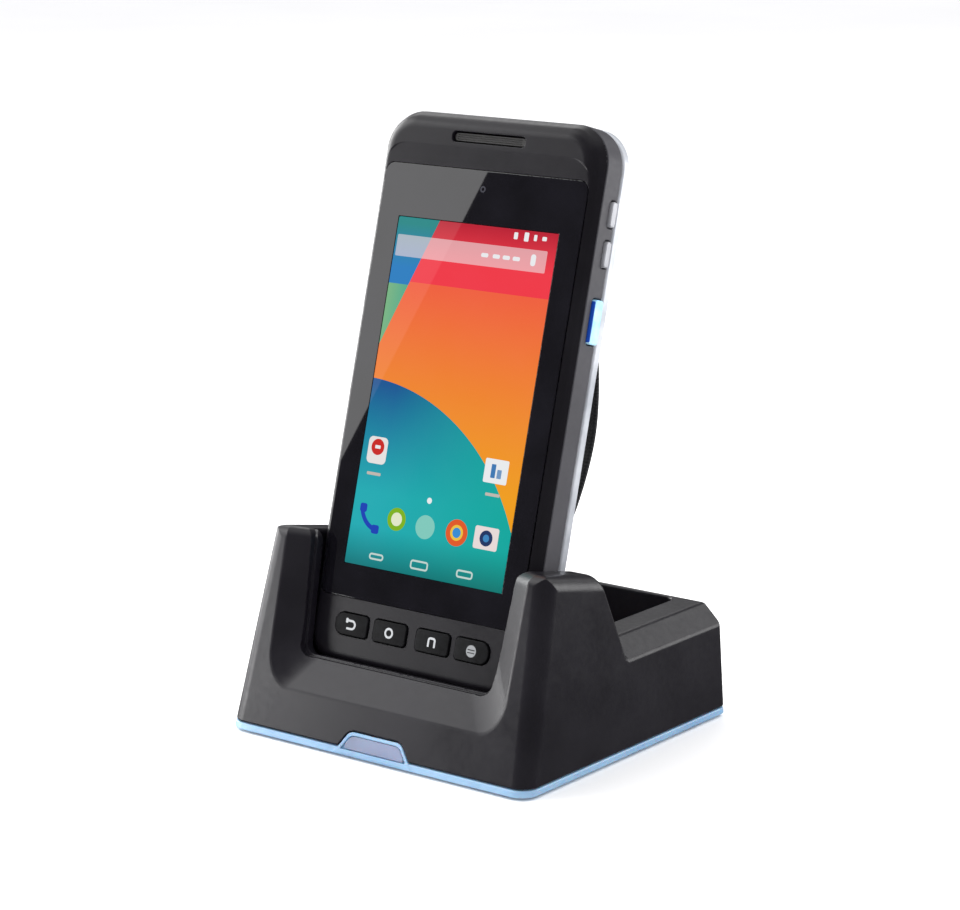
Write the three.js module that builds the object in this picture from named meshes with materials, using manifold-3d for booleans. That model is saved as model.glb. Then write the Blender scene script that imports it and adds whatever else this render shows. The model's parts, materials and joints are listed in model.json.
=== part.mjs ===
// A handheld data terminal standing in its desktop charging cradle.
//
// Millimetres, +Z up, +X to the right of somebody facing the screen, -Y to the front.
// The origin is the centre of the cradle's footprint, on the surface that it stands on.
//
// Two drawing frames lean back with the screen. In both, x is X, y runs up the slope and z
// comes out of the front: "slope" starts at the foot of the cradle's front face, and "screen"
// starts at the centre of the display.

import * as THREE from 'three';
import { mergeVertices } from 'three/addons/utils/BufferGeometryUtils.js';
import Module from 'manifold-3d';

const wasm = await Module();
wasm.setup();

// ---------------------------------------------------------------- driving dimensions

const GAP = 0.3; // between neighbouring pieces
const LEAN = THREE.MathUtils.degToRad(15); // of the cradle's front face and of the terminal
const ARC_STEPS = 6; // edges in a rounded corner
const BEYOND = 80; // reach of cutting tools that pass through everything

const CRADLE = {
  halfWidth: 55.7, // at the ground
  halfDepth: 51.25,
  sideDraft: 0.07, // each side leans in by this for each millimetre of height
  frontRadius: 5.5,
  backRadius: 2,
  wall: 2.5,
  bottom: 3.1,
  deckTop: 34.4, // rear section
  deckRadius: 3,
  faceFlare: 0.2, // the front face's tool widens downwards, so that the sides shape it there
  earTop: 63.3, // up the slope
  earRadius: 5,
  earRearRadius: 1.5,
  earFoot: [-0.8, 34.4], // y and z of the ears' rear edge, where it meets the deck
  earRear: [-8.9, 54.18], // and where it meets their top
  chamferSide: [53.7, 28.6], // x and z of the deck's side chamfer
  chamferTop: [47.5, 34.4],
};

const STRIP = { bottom: 0.8, top: 2.8, width: 4 }; // translucent strip round the foot
const TAB = { halfFoot: 14.3, halfTop: 9.5, foot: 1.4, top: 8.1, depth: 1.5, radius: 1.5 };
const LENS = { halfFoot: 11.2, halfTop: 8.5, foot: 3.1, top: 6.6, radius: 0.8 }; // in the tab

const MOUTH = { // U-shaped cut-out in the cradle's front, on the slope
  halfTop: 44.3,
  halfFoot: 41.6,
  foot: 16.4,
  radius: 7,
  lipHalfTop: 37.7,
  lipHalfFoot: 35,
  lipFoot: 26.8,
  lipRadius: 3.5,
  lipDepth: 4,
};

const WELL = { halfWidth: 38, front: -6.8, back: 48.7, floor: 14.5, radius: 3 }; // spare battery
const POCKET = { spread: 0.6, front: 1.5, back: 1.8 }; // room round the terminal

const BODY = { // the terminal's outline, in the screen frame
  half: 39.8,
  top: 84,
  bottom: -82.5,
  topRadius: 12,
  bottomRadius: 10,
  wall: 2.4,
};
const SCREEN_CENTRE = new THREE.Vector3(0, -14, 101.1);
const SCREEN_DEPTH = 9.8; // of the glass behind the cradle's front face
const SCREEN_RISE = 107.3; // of the display's centre up the slope

// Where each layer of the terminal starts and ends, out of the screen.
const FRONT = { back: -3.6, front: 0.3, top: 1.1 };
const FRAME = { back: -11.2, front: -3.9 };
const TRIM = { back: -14.9, front: -11.5 };
const BACK = { back: -17, front: -15.2 };

const GLASS = { half: 36.8, bottom: -61.9, top: 67.7, back: -1.2, front: 0, radius: 3 };
const BROW = { foot: 68, head: 73.8 }; // slope from the glass up to the earpiece
const DISPLAY = { half: 29.25, halfHeight: 52, back: -3.3, front: -1.5 };
const EARPIECE = { half: 13.2, bottom: 75.3, top: 78.4 };
const CAMERA = { up: 62.3, radius: 1.9 };
const SCAN_WINDOW = { half: 11, back: -10, front: -5 }; // in the terminal's top edge

const KEY = { width: 12.2, height: 6.5, up: -69.75, front: 1.1, radius: 2.2, clear: 0.35 };
const KEY_CENTRES = { back_key: -22.4, home_key: -7.95, menu_key: 7.95, web_key: 22.4 };

const SIDE_KEYS = { // on the terminal's right side: place up the device, depth, and how proud
  upper_side_button: { from: 56, to: 63.4, back: -10.8, front: -8.1, proud: 0.8 },
  lower_side_button: { from: 44.4, to: 52, back: -10.8, front: -8.1, proud: 0.8 },
  scan_trigger: { from: 22.2, to: 35.1, back: -11, front: -6.9, proud: 1.1 },
};

const DOOR = { half: 28.7, bottom: -49, top: 24, back: -16.8, front: -15.4, radius: 3 };
const REAR_CAMERA = { across: -20, up: 66, radius: 4.5, windowRadius: 5.2 };
const SPEAKER = { left: 12, right: 30, bottom: 62, top: 75, slots: 5, slotHeight: 1.2 };
const CONTACTS = { half: 13, back: -10.2, front: -5.4, count: 6, pitch: 4 };

const STRAP = { // hand strap, drawn in (up, out) of the screen frame
  half: 22,
  thickness: 1.6,
  route: [
    [55, -19.2], [49, -19.2], [44.5, -20.4], [39.5, -25], [33, -32], [18, -40.6], [-4, -45],
    [-27, -40.6], [-40.5, -32], [-46.5, -25], [-50.8, -20.4], [-55, -19.2], [-60.5, -19.2],
  ],
  steps: 28,
};
const ANCHORS = { upper_strap_anchor: [48, 54], lower_strap_anchor: [-60, -54] };
const ANCHOR = {
  half: 25, radius: 1.5, back: -21.6, front: -17.3, slotBack: -20.4, slotFront: -18,
};

const FOOT_PLACES = [[-44, -40], [44, -40], [-44, 40], [44, 40]];
const SCREW_PLACES = [[-46, -28], [46, -28], [-46, 14], [46, 14]];
const SCREW_HOLE = 1.7;
const POST_PLACES = [[-32, -20], [32, -20], [-32, 26], [32, 26]]; // they carry the circuit board
const BACK_SCREWS = [[-33, 76], [33, 76], [-33, -73], [33, -73]];
const PORT = { // sockets in the cradle's back
  across: 46.4, z: 14.3, half: 4.6, below: 4.9, above: 3.4, radius: 1, inner: 36, recess: 0.6,
};

// ---------------------------------------------------------------- materials

const finish = (color, roughness, metalness = 0, extra = {}) =>
  new THREE.MeshStandardMaterial({ color, roughness, metalness, ...extra });

const charcoal = finish(0x2b2c2f, 0.5);
const sidePlastic = finish(0x4a4b50, 0.55);
const silver = finish(0xc8ccd2, 0.3, 0.9);
const blackGlass = finish(0x060708, 0.05);
const blackPlastic = finish(0x141518, 0.6);
const blueLight = finish(0x8fbdf0, 0.3, 0, { transparent: true, opacity: 0.8 });
const blueKey = finish(0x7db4ee, 0.35);
const rubber = finish(0x17181a, 0.9);
const steel = finish(0x9a9ca0, 0.35, 1);
const gold = finish(0xd9b45a, 0.3, 1);
const boardGreen = finish(0x1c5a3a, 0.6);
const webbing = finish(0x1a1b1d, 0.95);
const battery = finish(0x25272b, 0.7);

// ---------------------------------------------------------------- solids and outlines

function toSolid(geometry) {
  const bare = geometry.clone();
  bare.deleteAttribute('normal');
  bare.deleteAttribute('uv');
  const merged = mergeVertices(bare, 1e-4);
  return new wasm.Manifold(new wasm.Mesh({
    numProp: 3,
    vertProperties: new Float32Array(merged.attributes.position.array),
    triVerts: new Uint32Array(merged.index.array),
  }));
}

function toGeometry(solid) {
  const mesh = solid.getMesh();
  const geometry = new THREE.BufferGeometry();
  geometry.setAttribute('position', new THREE.BufferAttribute(mesh.vertProperties, 3));
  geometry.setIndex(new THREE.BufferAttribute(mesh.triVerts, 1));
  return geometry;
}

const combine = (method, first, others) =>
  toGeometry(others.reduce((solid, tool) => solid[method](toSolid(tool)), toSolid(first)));
const join = (first, ...others) => combine('add', first, others);
const cut = (first, ...others) => combine('subtract', first, others);
const common = (first, ...others) => combine('intersect', first, others);

// Rounds the corners [x, y, radius] of a polygon that is listed anticlockwise.
function rounded(corners, steps = ARC_STEPS) {
  const points = [];
  corners.forEach(([x, y, radius = 0], index) => {
    const before = corners[(index + corners.length - 1) % corners.length];
    const after = corners[(index + 1) % corners.length];
    const corner = new THREE.Vector2(x, y);
    if (radius < 0.05) {
      points.push(corner);
      return;
    }
    const back = new THREE.Vector2(before[0] - x, before[1] - y).normalize();
    const ahead = new THREE.Vector2(after[0] - x, after[1] - y).normalize();
    const half = Math.acos(THREE.MathUtils.clamp(back.dot(ahead), -1, 1)) / 2;
    const reach = radius / Math.sin(half);
    const centre = back.clone().add(ahead).normalize().multiplyScalar(reach).add(corner);
    const start = corner.clone().addScaledVector(back, radius / Math.tan(half)).sub(centre);
    const turn = Math.sign(ahead.cross(back)) * (Math.PI - 2 * half);
    for (let step = 0; step <= steps; step += 1) {
      const arm = start.clone().rotateAround(new THREE.Vector2(), (turn * step) / steps);
      points.push(arm.add(centre));
    }
  });
  return points;
}

// Closed body through outlines of equal count, each a list of Vector3, going up.
function loft(outlines) {
  const count = outlines[0].length;
  const positions = outlines.flat().flatMap((point) => point.toArray());
  const index = [];
  for (let level = 0; level + 1 < outlines.length; level += 1) {
    for (let side = 0; side < count; side += 1) {
      const a = level * count + side;
      const b = level * count + ((side + 1) % count);
      index.push(a, b, b + count, a, b + count, a + count);
    }
  }
  const cap = (points) => THREE.ShapeUtils.triangulateShape(
    points.map((point) => new THREE.Vector2(point.x, point.y)), []);
  const topStart = (outlines.length - 1) * count;
  cap(outlines[0]).forEach(([a, b, c]) => index.push(a, c, b));
  cap(outlines.at(-1)).forEach((corners) => index.push(...corners.map((at) => topStart + at)));
  const geometry = new THREE.BufferGeometry();
  geometry.setAttribute('position', new THREE.Float32BufferAttribute(positions, 3));
  geometry.setIndex(index);
  return geometry;
}

const atHeight = (points, z) => points.map((point) => new THREE.Vector3(point.x, point.y, z));

function prism(points, from, to) {
  const geometry = new THREE.ExtrudeGeometry(new THREE.Shape(points), {
    depth: to - from,
    bevelEnabled: false,
    curveSegments: ARC_STEPS,
  });
  return geometry.translate(0, 0, from);
}

const rectangle = (left, bottom, right, top, radius = 0, steps = ARC_STEPS) => rounded(
  [[left, bottom, radius], [right, bottom, radius], [right, top, radius], [left, top, radius]], steps);

const circle = (x, y, radius, sides = 20) => Array.from({ length: sides }, (_, index) => {
  const angle = (2 * Math.PI * index) / sides;
  return new THREE.Vector2(x + radius * Math.cos(angle), y + radius * Math.sin(angle));
});

const block = ([x0, y0, z0], [x1, y1, z1]) =>
  new THREE.BoxGeometry(x1 - x0, y1 - y0, z1 - z0)
    .translate((x0 + x1) / 2, (y0 + y1) / 2, (z0 + z1) / 2);

const column = (x, y, radius, from, to, sides = 16) =>
  new THREE.CylinderGeometry(radius, radius, to - from, sides)
    .rotateX(Math.PI / 2)
    .translate(x, y, (from + to) / 2);

// Prism along X of an outline drawn in (y, z).
function alongX(points, from, to) {
  const turn = new THREE.Matrix4().makeBasis(
    new THREE.Vector3(0, 1, 0), new THREE.Vector3(0, 0, 1), new THREE.Vector3(1, 0, 0));
  return prism(points, from, to).applyMatrix4(turn);
}

// Prism along Y of an outline drawn in (x, z).
function alongY(points, from, to) {
  const turn = new THREE.Matrix4().makeBasis(
    new THREE.Vector3(1, 0, 0), new THREE.Vector3(0, 0, 1), new THREE.Vector3(0, -1, 0));
  return prism(points, -to, -from).applyMatrix4(turn);
}

// X places of a row of contacts.
const pitchPlaces = ({ count, pitch }) =>
  Array.from({ length: count }, (_, index) => (index - (count - 1) / 2) * pitch);

const onSlope = (geometry) => geometry.applyMatrix4(
  new THREE.Matrix4().makeRotationX(Math.PI / 2 - LEAN).setPosition(0, -CRADLE.halfDepth, 0));

const model = new THREE.Group();
const terminal = new THREE.Group();
terminal.rotation.x = Math.PI / 2 - LEAN;
terminal.position.copy(SCREEN_CENTRE);
model.add(terminal);

function addPiece(parent, name, geometry, material) {
  const mesh = new THREE.Mesh(geometry, material);
  mesh.name = name;
  parent.add(mesh);
}

// ---------------------------------------------------------------- cradle

// Plan outline of the cradle at a height, moved in by an inset.
function cradlePlan(z, inset = 0) {
  const half = CRADLE.halfWidth - CRADLE.sideDraft * z - inset;
  const front = -CRADLE.halfDepth + Math.tan(LEAN) * z + inset / Math.cos(LEAN);
  const back = CRADLE.halfDepth - Math.tan(LEAN) * STRIP.bottom - inset;
  const frontRadius = Math.max(CRADLE.frontRadius - inset, 1);
  const backRadius = Math.max(CRADLE.backRadius - inset, 1);
  return atHeight(rounded([
    [-half, front, frontRadius], [half, front, frontRadius],
    [half, back, backRadius], [-half, back, backRadius],
  ]), z);
}

// Whole outer form of the cradle, moved in by an inset, from one height up.
function cradleForm(from, inset = 0) {
  const plan = loft([cradlePlan(from, inset), cradlePlan(CRADLE.earTop + 5, inset)]);
  const deck = CRADLE.deckTop - inset;
  const footY = CRADLE.earFoot[0] - inset;
  const [rearY, rearZ] = CRADLE.earRear.map((place) => place - inset);
  const side = alongX(rounded([
    [-BEYOND, from - 1], [BEYOND, from - 1], [BEYOND, deck], [footY, deck, CRADLE.deckRadius],
    [rearY, rearZ, CRADLE.earRearRadius], [-BEYOND, rearZ + (rearY + BEYOND) * Math.tan(LEAN)],
  ]), -BEYOND, BEYOND);
  const half = CRADLE.halfWidth - CRADLE.sideDraft * CRADLE.earTop * Math.cos(LEAN) + 0.5 - inset;
  const earTop = CRADLE.earTop - inset;
  const below = -BEYOND / 2;
  const flare = CRADLE.faceFlare * (earTop - below);
  const face = onSlope(prism(rounded([
    [-half - flare, below], [half + flare, below], [half, earTop, CRADLE.earRadius],
    [-half, earTop, CRADLE.earRadius],
  ]), -2 * BEYOND, BEYOND));
  return common(plan, side, face);
}

// Wedge that takes off one long edge of the rear deck, behind the ears.
function deckChamfer(side) {
  const [sideX, sideZ] = CRADLE.chamferSide;
  const [topX, topZ] = CRADLE.chamferTop;
  const slope = (topZ - sideZ) / (topX - sideX);
  const reach = 6;
  const profile = [
    [side * (topX - reach), topZ - reach * slope], [side * (sideX + reach), sideZ + reach * slope],
    [side * (sideX + reach), topZ - reach * slope],
  ].map(([x, z]) => new THREE.Vector2(x, z));
  if (side > 0) profile.reverse();
  const wedge = alongY(profile, -BEYOND, BEYOND);
  const [footY, footZ] = CRADLE.earFoot;
  const [rearY, rearZ] = CRADLE.earRear;
  const rearSlope = (rearY - footY) / (rearZ - footZ);
  const edge = (z) => footY + rearSlope * (z - footZ);
  const low = sideZ - 2 * reach;
  const high = topZ + 2 * reach;
  const behindEars = alongX(
    rounded([[edge(low), low], [BEYOND, low], [BEYOND, high], [edge(high), high]]), -BEYOND, BEYOND);
  return common(wedge, behindEars);
}

const wellCut = (spread = 0, floor = WELL.floor) => prism(
  rectangle(-WELL.halfWidth - spread, WELL.front - spread, WELL.halfWidth + spread,
    WELL.back + Math.min(spread, 1), WELL.radius), floor, BEYOND);

const pocketOutline = (spread) => rounded([
  [-BODY.half - spread, SCREEN_RISE + BODY.bottom - spread, BODY.bottomRadius + spread],
  [BODY.half + spread, SCREEN_RISE + BODY.bottom - spread, BODY.bottomRadius + spread],
  [BODY.half + spread, BEYOND], [-BODY.half - spread, BEYOND],
]);

function mouthCut() {
  const { halfTop, halfFoot, foot, radius } = MOUTH;
  const { lipHalfTop, lipHalfFoot, lipFoot, lipRadius, lipDepth } = MOUTH;
  const rise = BEYOND;
  const top = CRADLE.earTop;
  const mouthSpread = halfFoot + ((halfTop - halfFoot) * (rise - foot)) / (top - foot);
  const lipSpread = lipHalfFoot + ((lipHalfTop - lipHalfFoot) * (rise - lipFoot)) / (top - lipFoot);
  const mouth = rounded([
    [-halfFoot, foot, radius], [halfFoot, foot, radius], [mouthSpread, rise], [-mouthSpread, rise],
  ]);
  const lip = rounded([
    [-lipHalfFoot, lipFoot, lipRadius], [lipHalfFoot, lipFoot, lipRadius],
    [lipSpread, rise], [-lipSpread, rise],
  ]);
  return onSlope(loft([
    atHeight(lip, -SCREEN_DEPTH - 4), atHeight(lip, -lipDepth), atHeight(mouth, 0), atHeight(mouth, 5),
  ]));
}

const tabOutline = (spread) => rounded([
  [-TAB.halfFoot - spread, TAB.foot - spread], [TAB.halfFoot + spread, TAB.foot - spread],
  [TAB.halfTop + spread, TAB.top + spread, TAB.radius],
  [-TAB.halfTop - spread, TAB.top + spread, TAB.radius],
]);

const lensOutline = (spread) => rounded([
  [-LENS.halfFoot - spread, LENS.foot - spread, LENS.radius],
  [LENS.halfFoot + spread, LENS.foot - spread, LENS.radius],
  [LENS.halfTop + spread, LENS.top + spread, LENS.radius],
  [-LENS.halfTop - spread, LENS.top + spread, LENS.radius],
]);

const portOutline = (x, spread = 0) => rectangle(
  x - PORT.half - spread, PORT.z - PORT.below - spread,
  x + PORT.half + spread, PORT.z + PORT.above + spread, PORT.radius);

const portHole = (x) => alongY(portOutline(x, GAP), PORT.inner - GAP, BEYOND);

// Room inside the housing. Its walls leave the pocket, the battery well and the screw bosses.
function cradleCavity(pocketBack) {
  const wall = CRADLE.wall;
  const ceiling = CRADLE.deckTop - 4.4;
  const bossRadius = 3.6;
  const bossFoot = 5.3;
  return cut(
    cradleForm(CRADLE.bottom - 1, wall),
    onSlope(prism(
      rectangle(-BEYOND, MOUTH.foot - wall, BEYOND, BEYOND), -SCREEN_DEPTH - 1, BEYOND)),
    onSlope(prism(pocketOutline(wall + POCKET.spread), pocketBack - wall, -SCREEN_DEPTH)),
    wellCut(wall, WELL.floor - wall),
    ...SCREW_PLACES.map(([x, y]) => column(x, y, bossRadius, bossFoot, BEYOND)),
    block([-BEYOND, -BEYOND, ceiling], [BEYOND, BEYOND, BEYOND]),
  );
}

function cradleHousing() {
  const pocketFront = -SCREEN_DEPTH + POCKET.front;
  const pocketBack = -SCREEN_DEPTH + BACK.back - POCKET.back;
  const halfPocket = BODY.half + POCKET.spread;
  const pinHole = prism(
    rectangle(-CONTACTS.half - 1, 10, CONTACTS.half + 1, 40),
    -SCREEN_DEPTH + CONTACTS.back - 0.8, -SCREEN_DEPTH + CONTACTS.front + 0.8);
  return cut(
    cradleForm(CRADLE.bottom), deckChamfer(1), deckChamfer(-1), cradleCavity(pocketBack),
    mouthCut(), onSlope(prism(pocketOutline(POCKET.spread), pocketBack, pocketFront)),
    block([-halfPocket, -20, CRADLE.deckTop], [halfPocket, 10, BEYOND]), wellCut(),
    onSlope(prism(tabOutline(GAP), -TAB.depth - GAP, 3)),
    portHole(PORT.across), portHole(-PORT.across),
    onSlope(pinHole), block([-12, 8, 5], [12, 14, 30]),
    ...SCREW_PLACES.map(([x, y]) => column(x, y, SCREW_HOLE, 3, WELL.floor)),
  );
}

function lightStrip() {
  const ring = cut(
    loft([cradlePlan(STRIP.bottom), cradlePlan(STRIP.top)]),
    loft([cradlePlan(STRIP.bottom - 1, STRIP.width), cradlePlan(STRIP.top + 1, STRIP.width)]),
  );
  const tab = onSlope(prism(tabOutline(0), -TAB.depth, 0));
  return cut(join(ring, tab), onSlope(prism(lensOutline(GAP), -TAB.depth + 0.5, 3)));
}

function basePlate() {
  const plate = loft([
    cradlePlan(STRIP.bottom, STRIP.width + GAP), cradlePlan(STRIP.top, STRIP.width + GAP)]);
  const bosses = SCREW_PLACES.map(([x, y]) => column(x, y, 4.6, STRIP.bottom, 5));
  const posts = POST_PLACES.map(([x, y]) => column(x, y, 2.5, 2, 7.2));
  const vents = [-12, -4, 4, 12].map((y) => block([-14, y - 1.2, 0], [14, y + 1.2, 4]));
  return cut(
    join(plate, ...bosses, ...posts), ...vents,
    ...SCREW_PLACES.flatMap(([x, y]) => [column(x, y, 3.3, 0, 3.6), column(x, y, SCREW_HOLE, 0, 8)]),
    ...FOOT_PLACES.map(([x, y]) => column(x, y, 6.3, 0, 2)),
  );
}

function screw(x, y, from, headHeight, headRadius, length) {
  const head = column(x, y, headRadius, from, from + headHeight);
  const shaft = column(x, y, headRadius * 0.5, from + headHeight / 2, from + length, 8);
  return cut(join(head, shaft), block([x - 9, y - 0.35, from - 1], [x + 9, y + 0.35, from + 0.6]));
}

function cradleBoard() {
  const bottom = 7.5;
  const top = 9.1;
  const plan = rounded([
    [-40, -27], [40, -27], [40, 20], [51, 20], [51, 45], [-51, 45], [-51, 20], [-40, 20],
  ]);
  const seat = top - 0.5;
  const chips = [
    block([-20, -18, seat], [-8, -6, top + 1.4]), block([4, -16, seat], [18, -8, top + 1.2]),
    block([-34, 30, seat], [-26, 42, top + 1.8]), block([24, 30, seat], [34, 40, top + 1.6]),
  ];
  return join(prism(plan, bottom, top), ...chips);
}

// Sprung pins in a carrier under the pocket floor; they meet the terminal's bottom edge.
function dockPins() {
  const middle = (CONTACTS.back + CONTACTS.front) / 2 - SCREEN_DEPTH;
  const bottom = SCREEN_RISE + BODY.bottom;
  const length = 9;
  const pins = pitchPlaces(CONTACTS).map((x) =>
    new THREE.CylinderGeometry(0.8, 0.8, length, 12)
      .translate(x, bottom - GAP - length / 2, middle));
  const half = CONTACTS.half - 2;
  const bus = block([-half, bottom - length, middle - 0.6], [half, bottom - 7.5, middle + 0.6]);
  return onSlope(join(bus, ...pins));
}

function dockPinCarrier() {
  const middle = (CONTACTS.back + CONTACTS.front) / 2 - SCREEN_DEPTH;
  const bottom = SCREEN_RISE + BODY.bottom;
  const carrier = block(
    [-CONTACTS.half, bottom - 6.8, middle - 2.4], [CONTACTS.half, bottom - 1.4, middle + 2.4]);
  const holes = pitchPlaces(CONTACTS).map((x) =>
    new THREE.CylinderGeometry(1.1, 1.1, 12, 12).translate(x, bottom - 4, middle));
  return onSlope(cut(carrier, ...holes));
}

function wellContacts() {
  const carrier = block([-11.6, 8.4, 9.5], [11.6, 13.6, 16.5]);
  const blades = [-7.5, -2.5, 2.5, 7.5].map((x) => block([x - 1.2, 9.6, 14], [x + 1.2, 12.4, 18.6]));
  return join(carrier, ...blades);
}

function powerInlet() {
  const x = PORT.across;
  const z = PORT.z - 0.7;
  const back = CRADLE.halfDepth - PORT.recess;
  const bore = alongY(circle(x, z, 3), PORT.inner + 4, BEYOND);
  const pin = alongY(circle(x, z, 1), PORT.inner + 3, back - 1);
  return join(cut(alongY(portOutline(x), PORT.inner, back), bore), pin);
}

function dataPort() {
  const x = -PORT.across;
  const z = PORT.z - 2;
  const back = CRADLE.halfDepth - PORT.recess;
  const mouth = alongY(
    rectangle(x - 3.6, z - 1.6, x + 3.6, z + 1.6, 0.8), PORT.inner + 6, BEYOND);
  const tongue = alongY(rectangle(x - 2.6, z - 0.4, x + 2.6, z + 0.4), PORT.inner + 5, back - 1);
  return join(cut(alongY(portOutline(x), PORT.inner, back), mouth), tongue);
}

addPiece(model, 'cradle_housing', cradleHousing(), charcoal);
addPiece(model, 'light_strip', lightStrip(), blueLight);
addPiece(model, 'indicator_lens', onSlope(prism(lensOutline(0), -TAB.depth + 0.8, 0)), blueLight);
addPiece(model, 'base_plate', basePlate(), blackPlastic);
FOOT_PLACES.forEach(([x, y], index) =>
  addPiece(model, `rubber_foot_${index + 1}`, column(x, y, 6, 0, 1.7), rubber));
SCREW_PLACES.forEach(([x, y], index) =>
  addPiece(model, `base_screw_${index + 1}`, screw(x, y, 1, 2, 2.8, 12), steel));
addPiece(model, 'cradle_board', cradleBoard(), boardGreen);
addPiece(model, 'dock_pin_carrier', dockPinCarrier(), blackPlastic);
addPiece(model, 'dock_pins', dockPins(), gold);
addPiece(model, 'well_contacts', wellContacts(), gold);
addPiece(model, 'power_inlet', powerInlet(), blackPlastic);
addPiece(model, 'data_port', dataPort(), steel);

// ---------------------------------------------------------------- terminal

const bodyOutline = (inset = 0) => rounded([
  [-BODY.half + inset, BODY.bottom + inset, BODY.bottomRadius - inset],
  [BODY.half - inset, BODY.bottom + inset, BODY.bottomRadius - inset],
  [BODY.half - inset, BODY.top - inset, BODY.topRadius - inset],
  [-BODY.half + inset, BODY.top - inset, BODY.topRadius - inset],
]);

const bodyLoft = (levels) => loft(levels.map(([inset, out]) => atHeight(bodyOutline(inset), out)));

const bodyRing = (back, front) => cut(
  bodyLoft([[0, back], [0, front]]), bodyLoft([[BODY.wall, back - 1], [BODY.wall, front + 1]]));

const keyOutline = (centre, spread = 0) => rectangle(
  centre - KEY.width / 2 - spread, KEY.up - KEY.height / 2 - spread,
  centre + KEY.width / 2 + spread, KEY.up + KEY.height / 2 + spread, KEY.radius, 3);

// Opening through the front housing, from behind its back face out to its front.
const frontOpening = (points, from = -9) => prism(points, from, 5);

function frontHousing() {
  const body = bodyLoft([[0, FRONT.back], [1.1, -1.4], [2.2, FRONT.front], [3.4, FRONT.top]]);
  const brow = alongX(rounded([
    [-BEYOND - 20, FRONT.front], [BROW.foot, FRONT.front], [BROW.head, FRONT.top + 0.05],
    [BROW.head, 10], [-BEYOND - 20, 10],
  ]), -BEYOND, BEYOND);
  const glass = rectangle(
    -GLASS.half - GAP, GLASS.bottom - GAP, GLASS.half + GAP, GLASS.top + GAP, GLASS.radius);
  const display = rectangle(
    -DISPLAY.half - 1, -DISPLAY.halfHeight - 1, DISPLAY.half + 1, DISPLAY.halfHeight + 1);
  const earpiece = rectangle(-EARPIECE.half, EARPIECE.bottom, EARPIECE.half, EARPIECE.top, 1.5);
  return cut(
    body, brow, frontOpening(glass, GLASS.back - GAP), frontOpening(display),
    frontOpening(earpiece), column(0, CAMERA.up, CAMERA.radius + GAP, -9, 5),
    ...Object.values(KEY_CENTRES).map((centre) => frontOpening(keyOutline(centre, KEY.clear))),
  );
}

function sideKeyCut({ from, to, back, front }) {
  return block([BODY.half - 5, from - GAP, back - GAP], [BODY.half + 5, to + GAP, front + GAP]);
}

function midFrame() {
  return cut(
    bodyRing(FRAME.back, FRAME.front),
    ...Object.values(SIDE_KEYS).map(sideKeyCut),
    block([-SCAN_WINDOW.half - GAP, BODY.top - 4, SCAN_WINDOW.back - GAP],
      [SCAN_WINDOW.half + GAP, BODY.top + 2, SCAN_WINDOW.front + GAP]),
    block([-CONTACTS.half - GAP, BODY.bottom - 2, CONTACTS.back - GAP],
      [CONTACTS.half + GAP, BODY.bottom + 4, CONTACTS.front + GAP]),
  );
}

function backCover() {
  const shell = bodyLoft([[3.4, BACK.back], [1.2, -16.2], [0.1, BACK.front]]);
  const hollow = bodyLoft([[2.6, -15.9], [2.6, BACK.front + 1]]);
  const through = [-20, -10];
  const slotPitch = (SPEAKER.top - SPEAKER.bottom - 3) / SPEAKER.slots;
  const slots = Array.from({ length: SPEAKER.slots }, (_, index) => {
    const foot = SPEAKER.bottom + 2 + index * slotPitch;
    const head = foot + SPEAKER.slotHeight;
    return prism(rectangle(SPEAKER.left + 2, foot, SPEAKER.right - 2, head), ...through);
  });
  const door = rectangle(
    -DOOR.half - GAP, DOOR.bottom - GAP, DOOR.half + GAP, DOOR.top + GAP, DOOR.radius);
  return cut(
    shell, hollow, prism(door, ...through), ...slots,
    column(REAR_CAMERA.across, REAR_CAMERA.up, REAR_CAMERA.windowRadius + GAP, ...through),
    ...BACK_SCREWS.map(([x, y]) => column(x, y, 2.1, ...through, 20)),
  );
}

function sideKey({ from, to, back, front, proud }) {
  const outer = BODY.half + proud;
  const stem = block([BODY.half - BODY.wall - 1, from, back], [outer, to, front]);
  const flangeInner = BODY.half - BODY.wall - 1.5;
  const flange = block(
    [flangeInner, from - 0.8, back + 0.2], [flangeInner + 1, to + 0.8, front - 0.2]);
  return join(stem, flange);
}

function frontKey(centre) {
  const cap = loft([
    atHeight(keyOutline(centre), -4.4), atHeight(keyOutline(centre), KEY.front - 0.5),
    atHeight(keyOutline(centre, -0.5), KEY.front),
  ]);
  return join(cap, prism(keyOutline(centre, 0.7), -4.9, FRAME.front - 0.1));
}

function mainBoard() {
  const back = -8.2;
  const front = -7;
  const seat = front - 0.5;
  const chips = [
    block([-20, 10, seat], [-4, 26, front + 1.4]), block([4, 6, seat], [22, 20, front + 1.2]),
    block([-24, -30, seat], [-6, -12, front + 1.3]), block([2, -34, seat], [24, -20, front + 1.1]),
  ];
  return join(prism(rectangle(-34, -58, 34, 58), back, front), ...chips);
}

function earpieceGrille() {
  const half = EARPIECE.half - GAP;
  const outline = rectangle(-half, EARPIECE.bottom + GAP, half, EARPIECE.top - GAP, 1.2);
  const [border, slotHeight, slotPitch] = [1.2, 0.36, 0.68];
  const slots = [0, 1, 2].map((row) => {
    const foot = EARPIECE.bottom + 0.62 + row * slotPitch;
    return block([-half + border, foot, -1], [half - border, foot + slotHeight, 1]);
  });
  return cut(prism(outline, -2.6, 0.2), ...slots);
}

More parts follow.
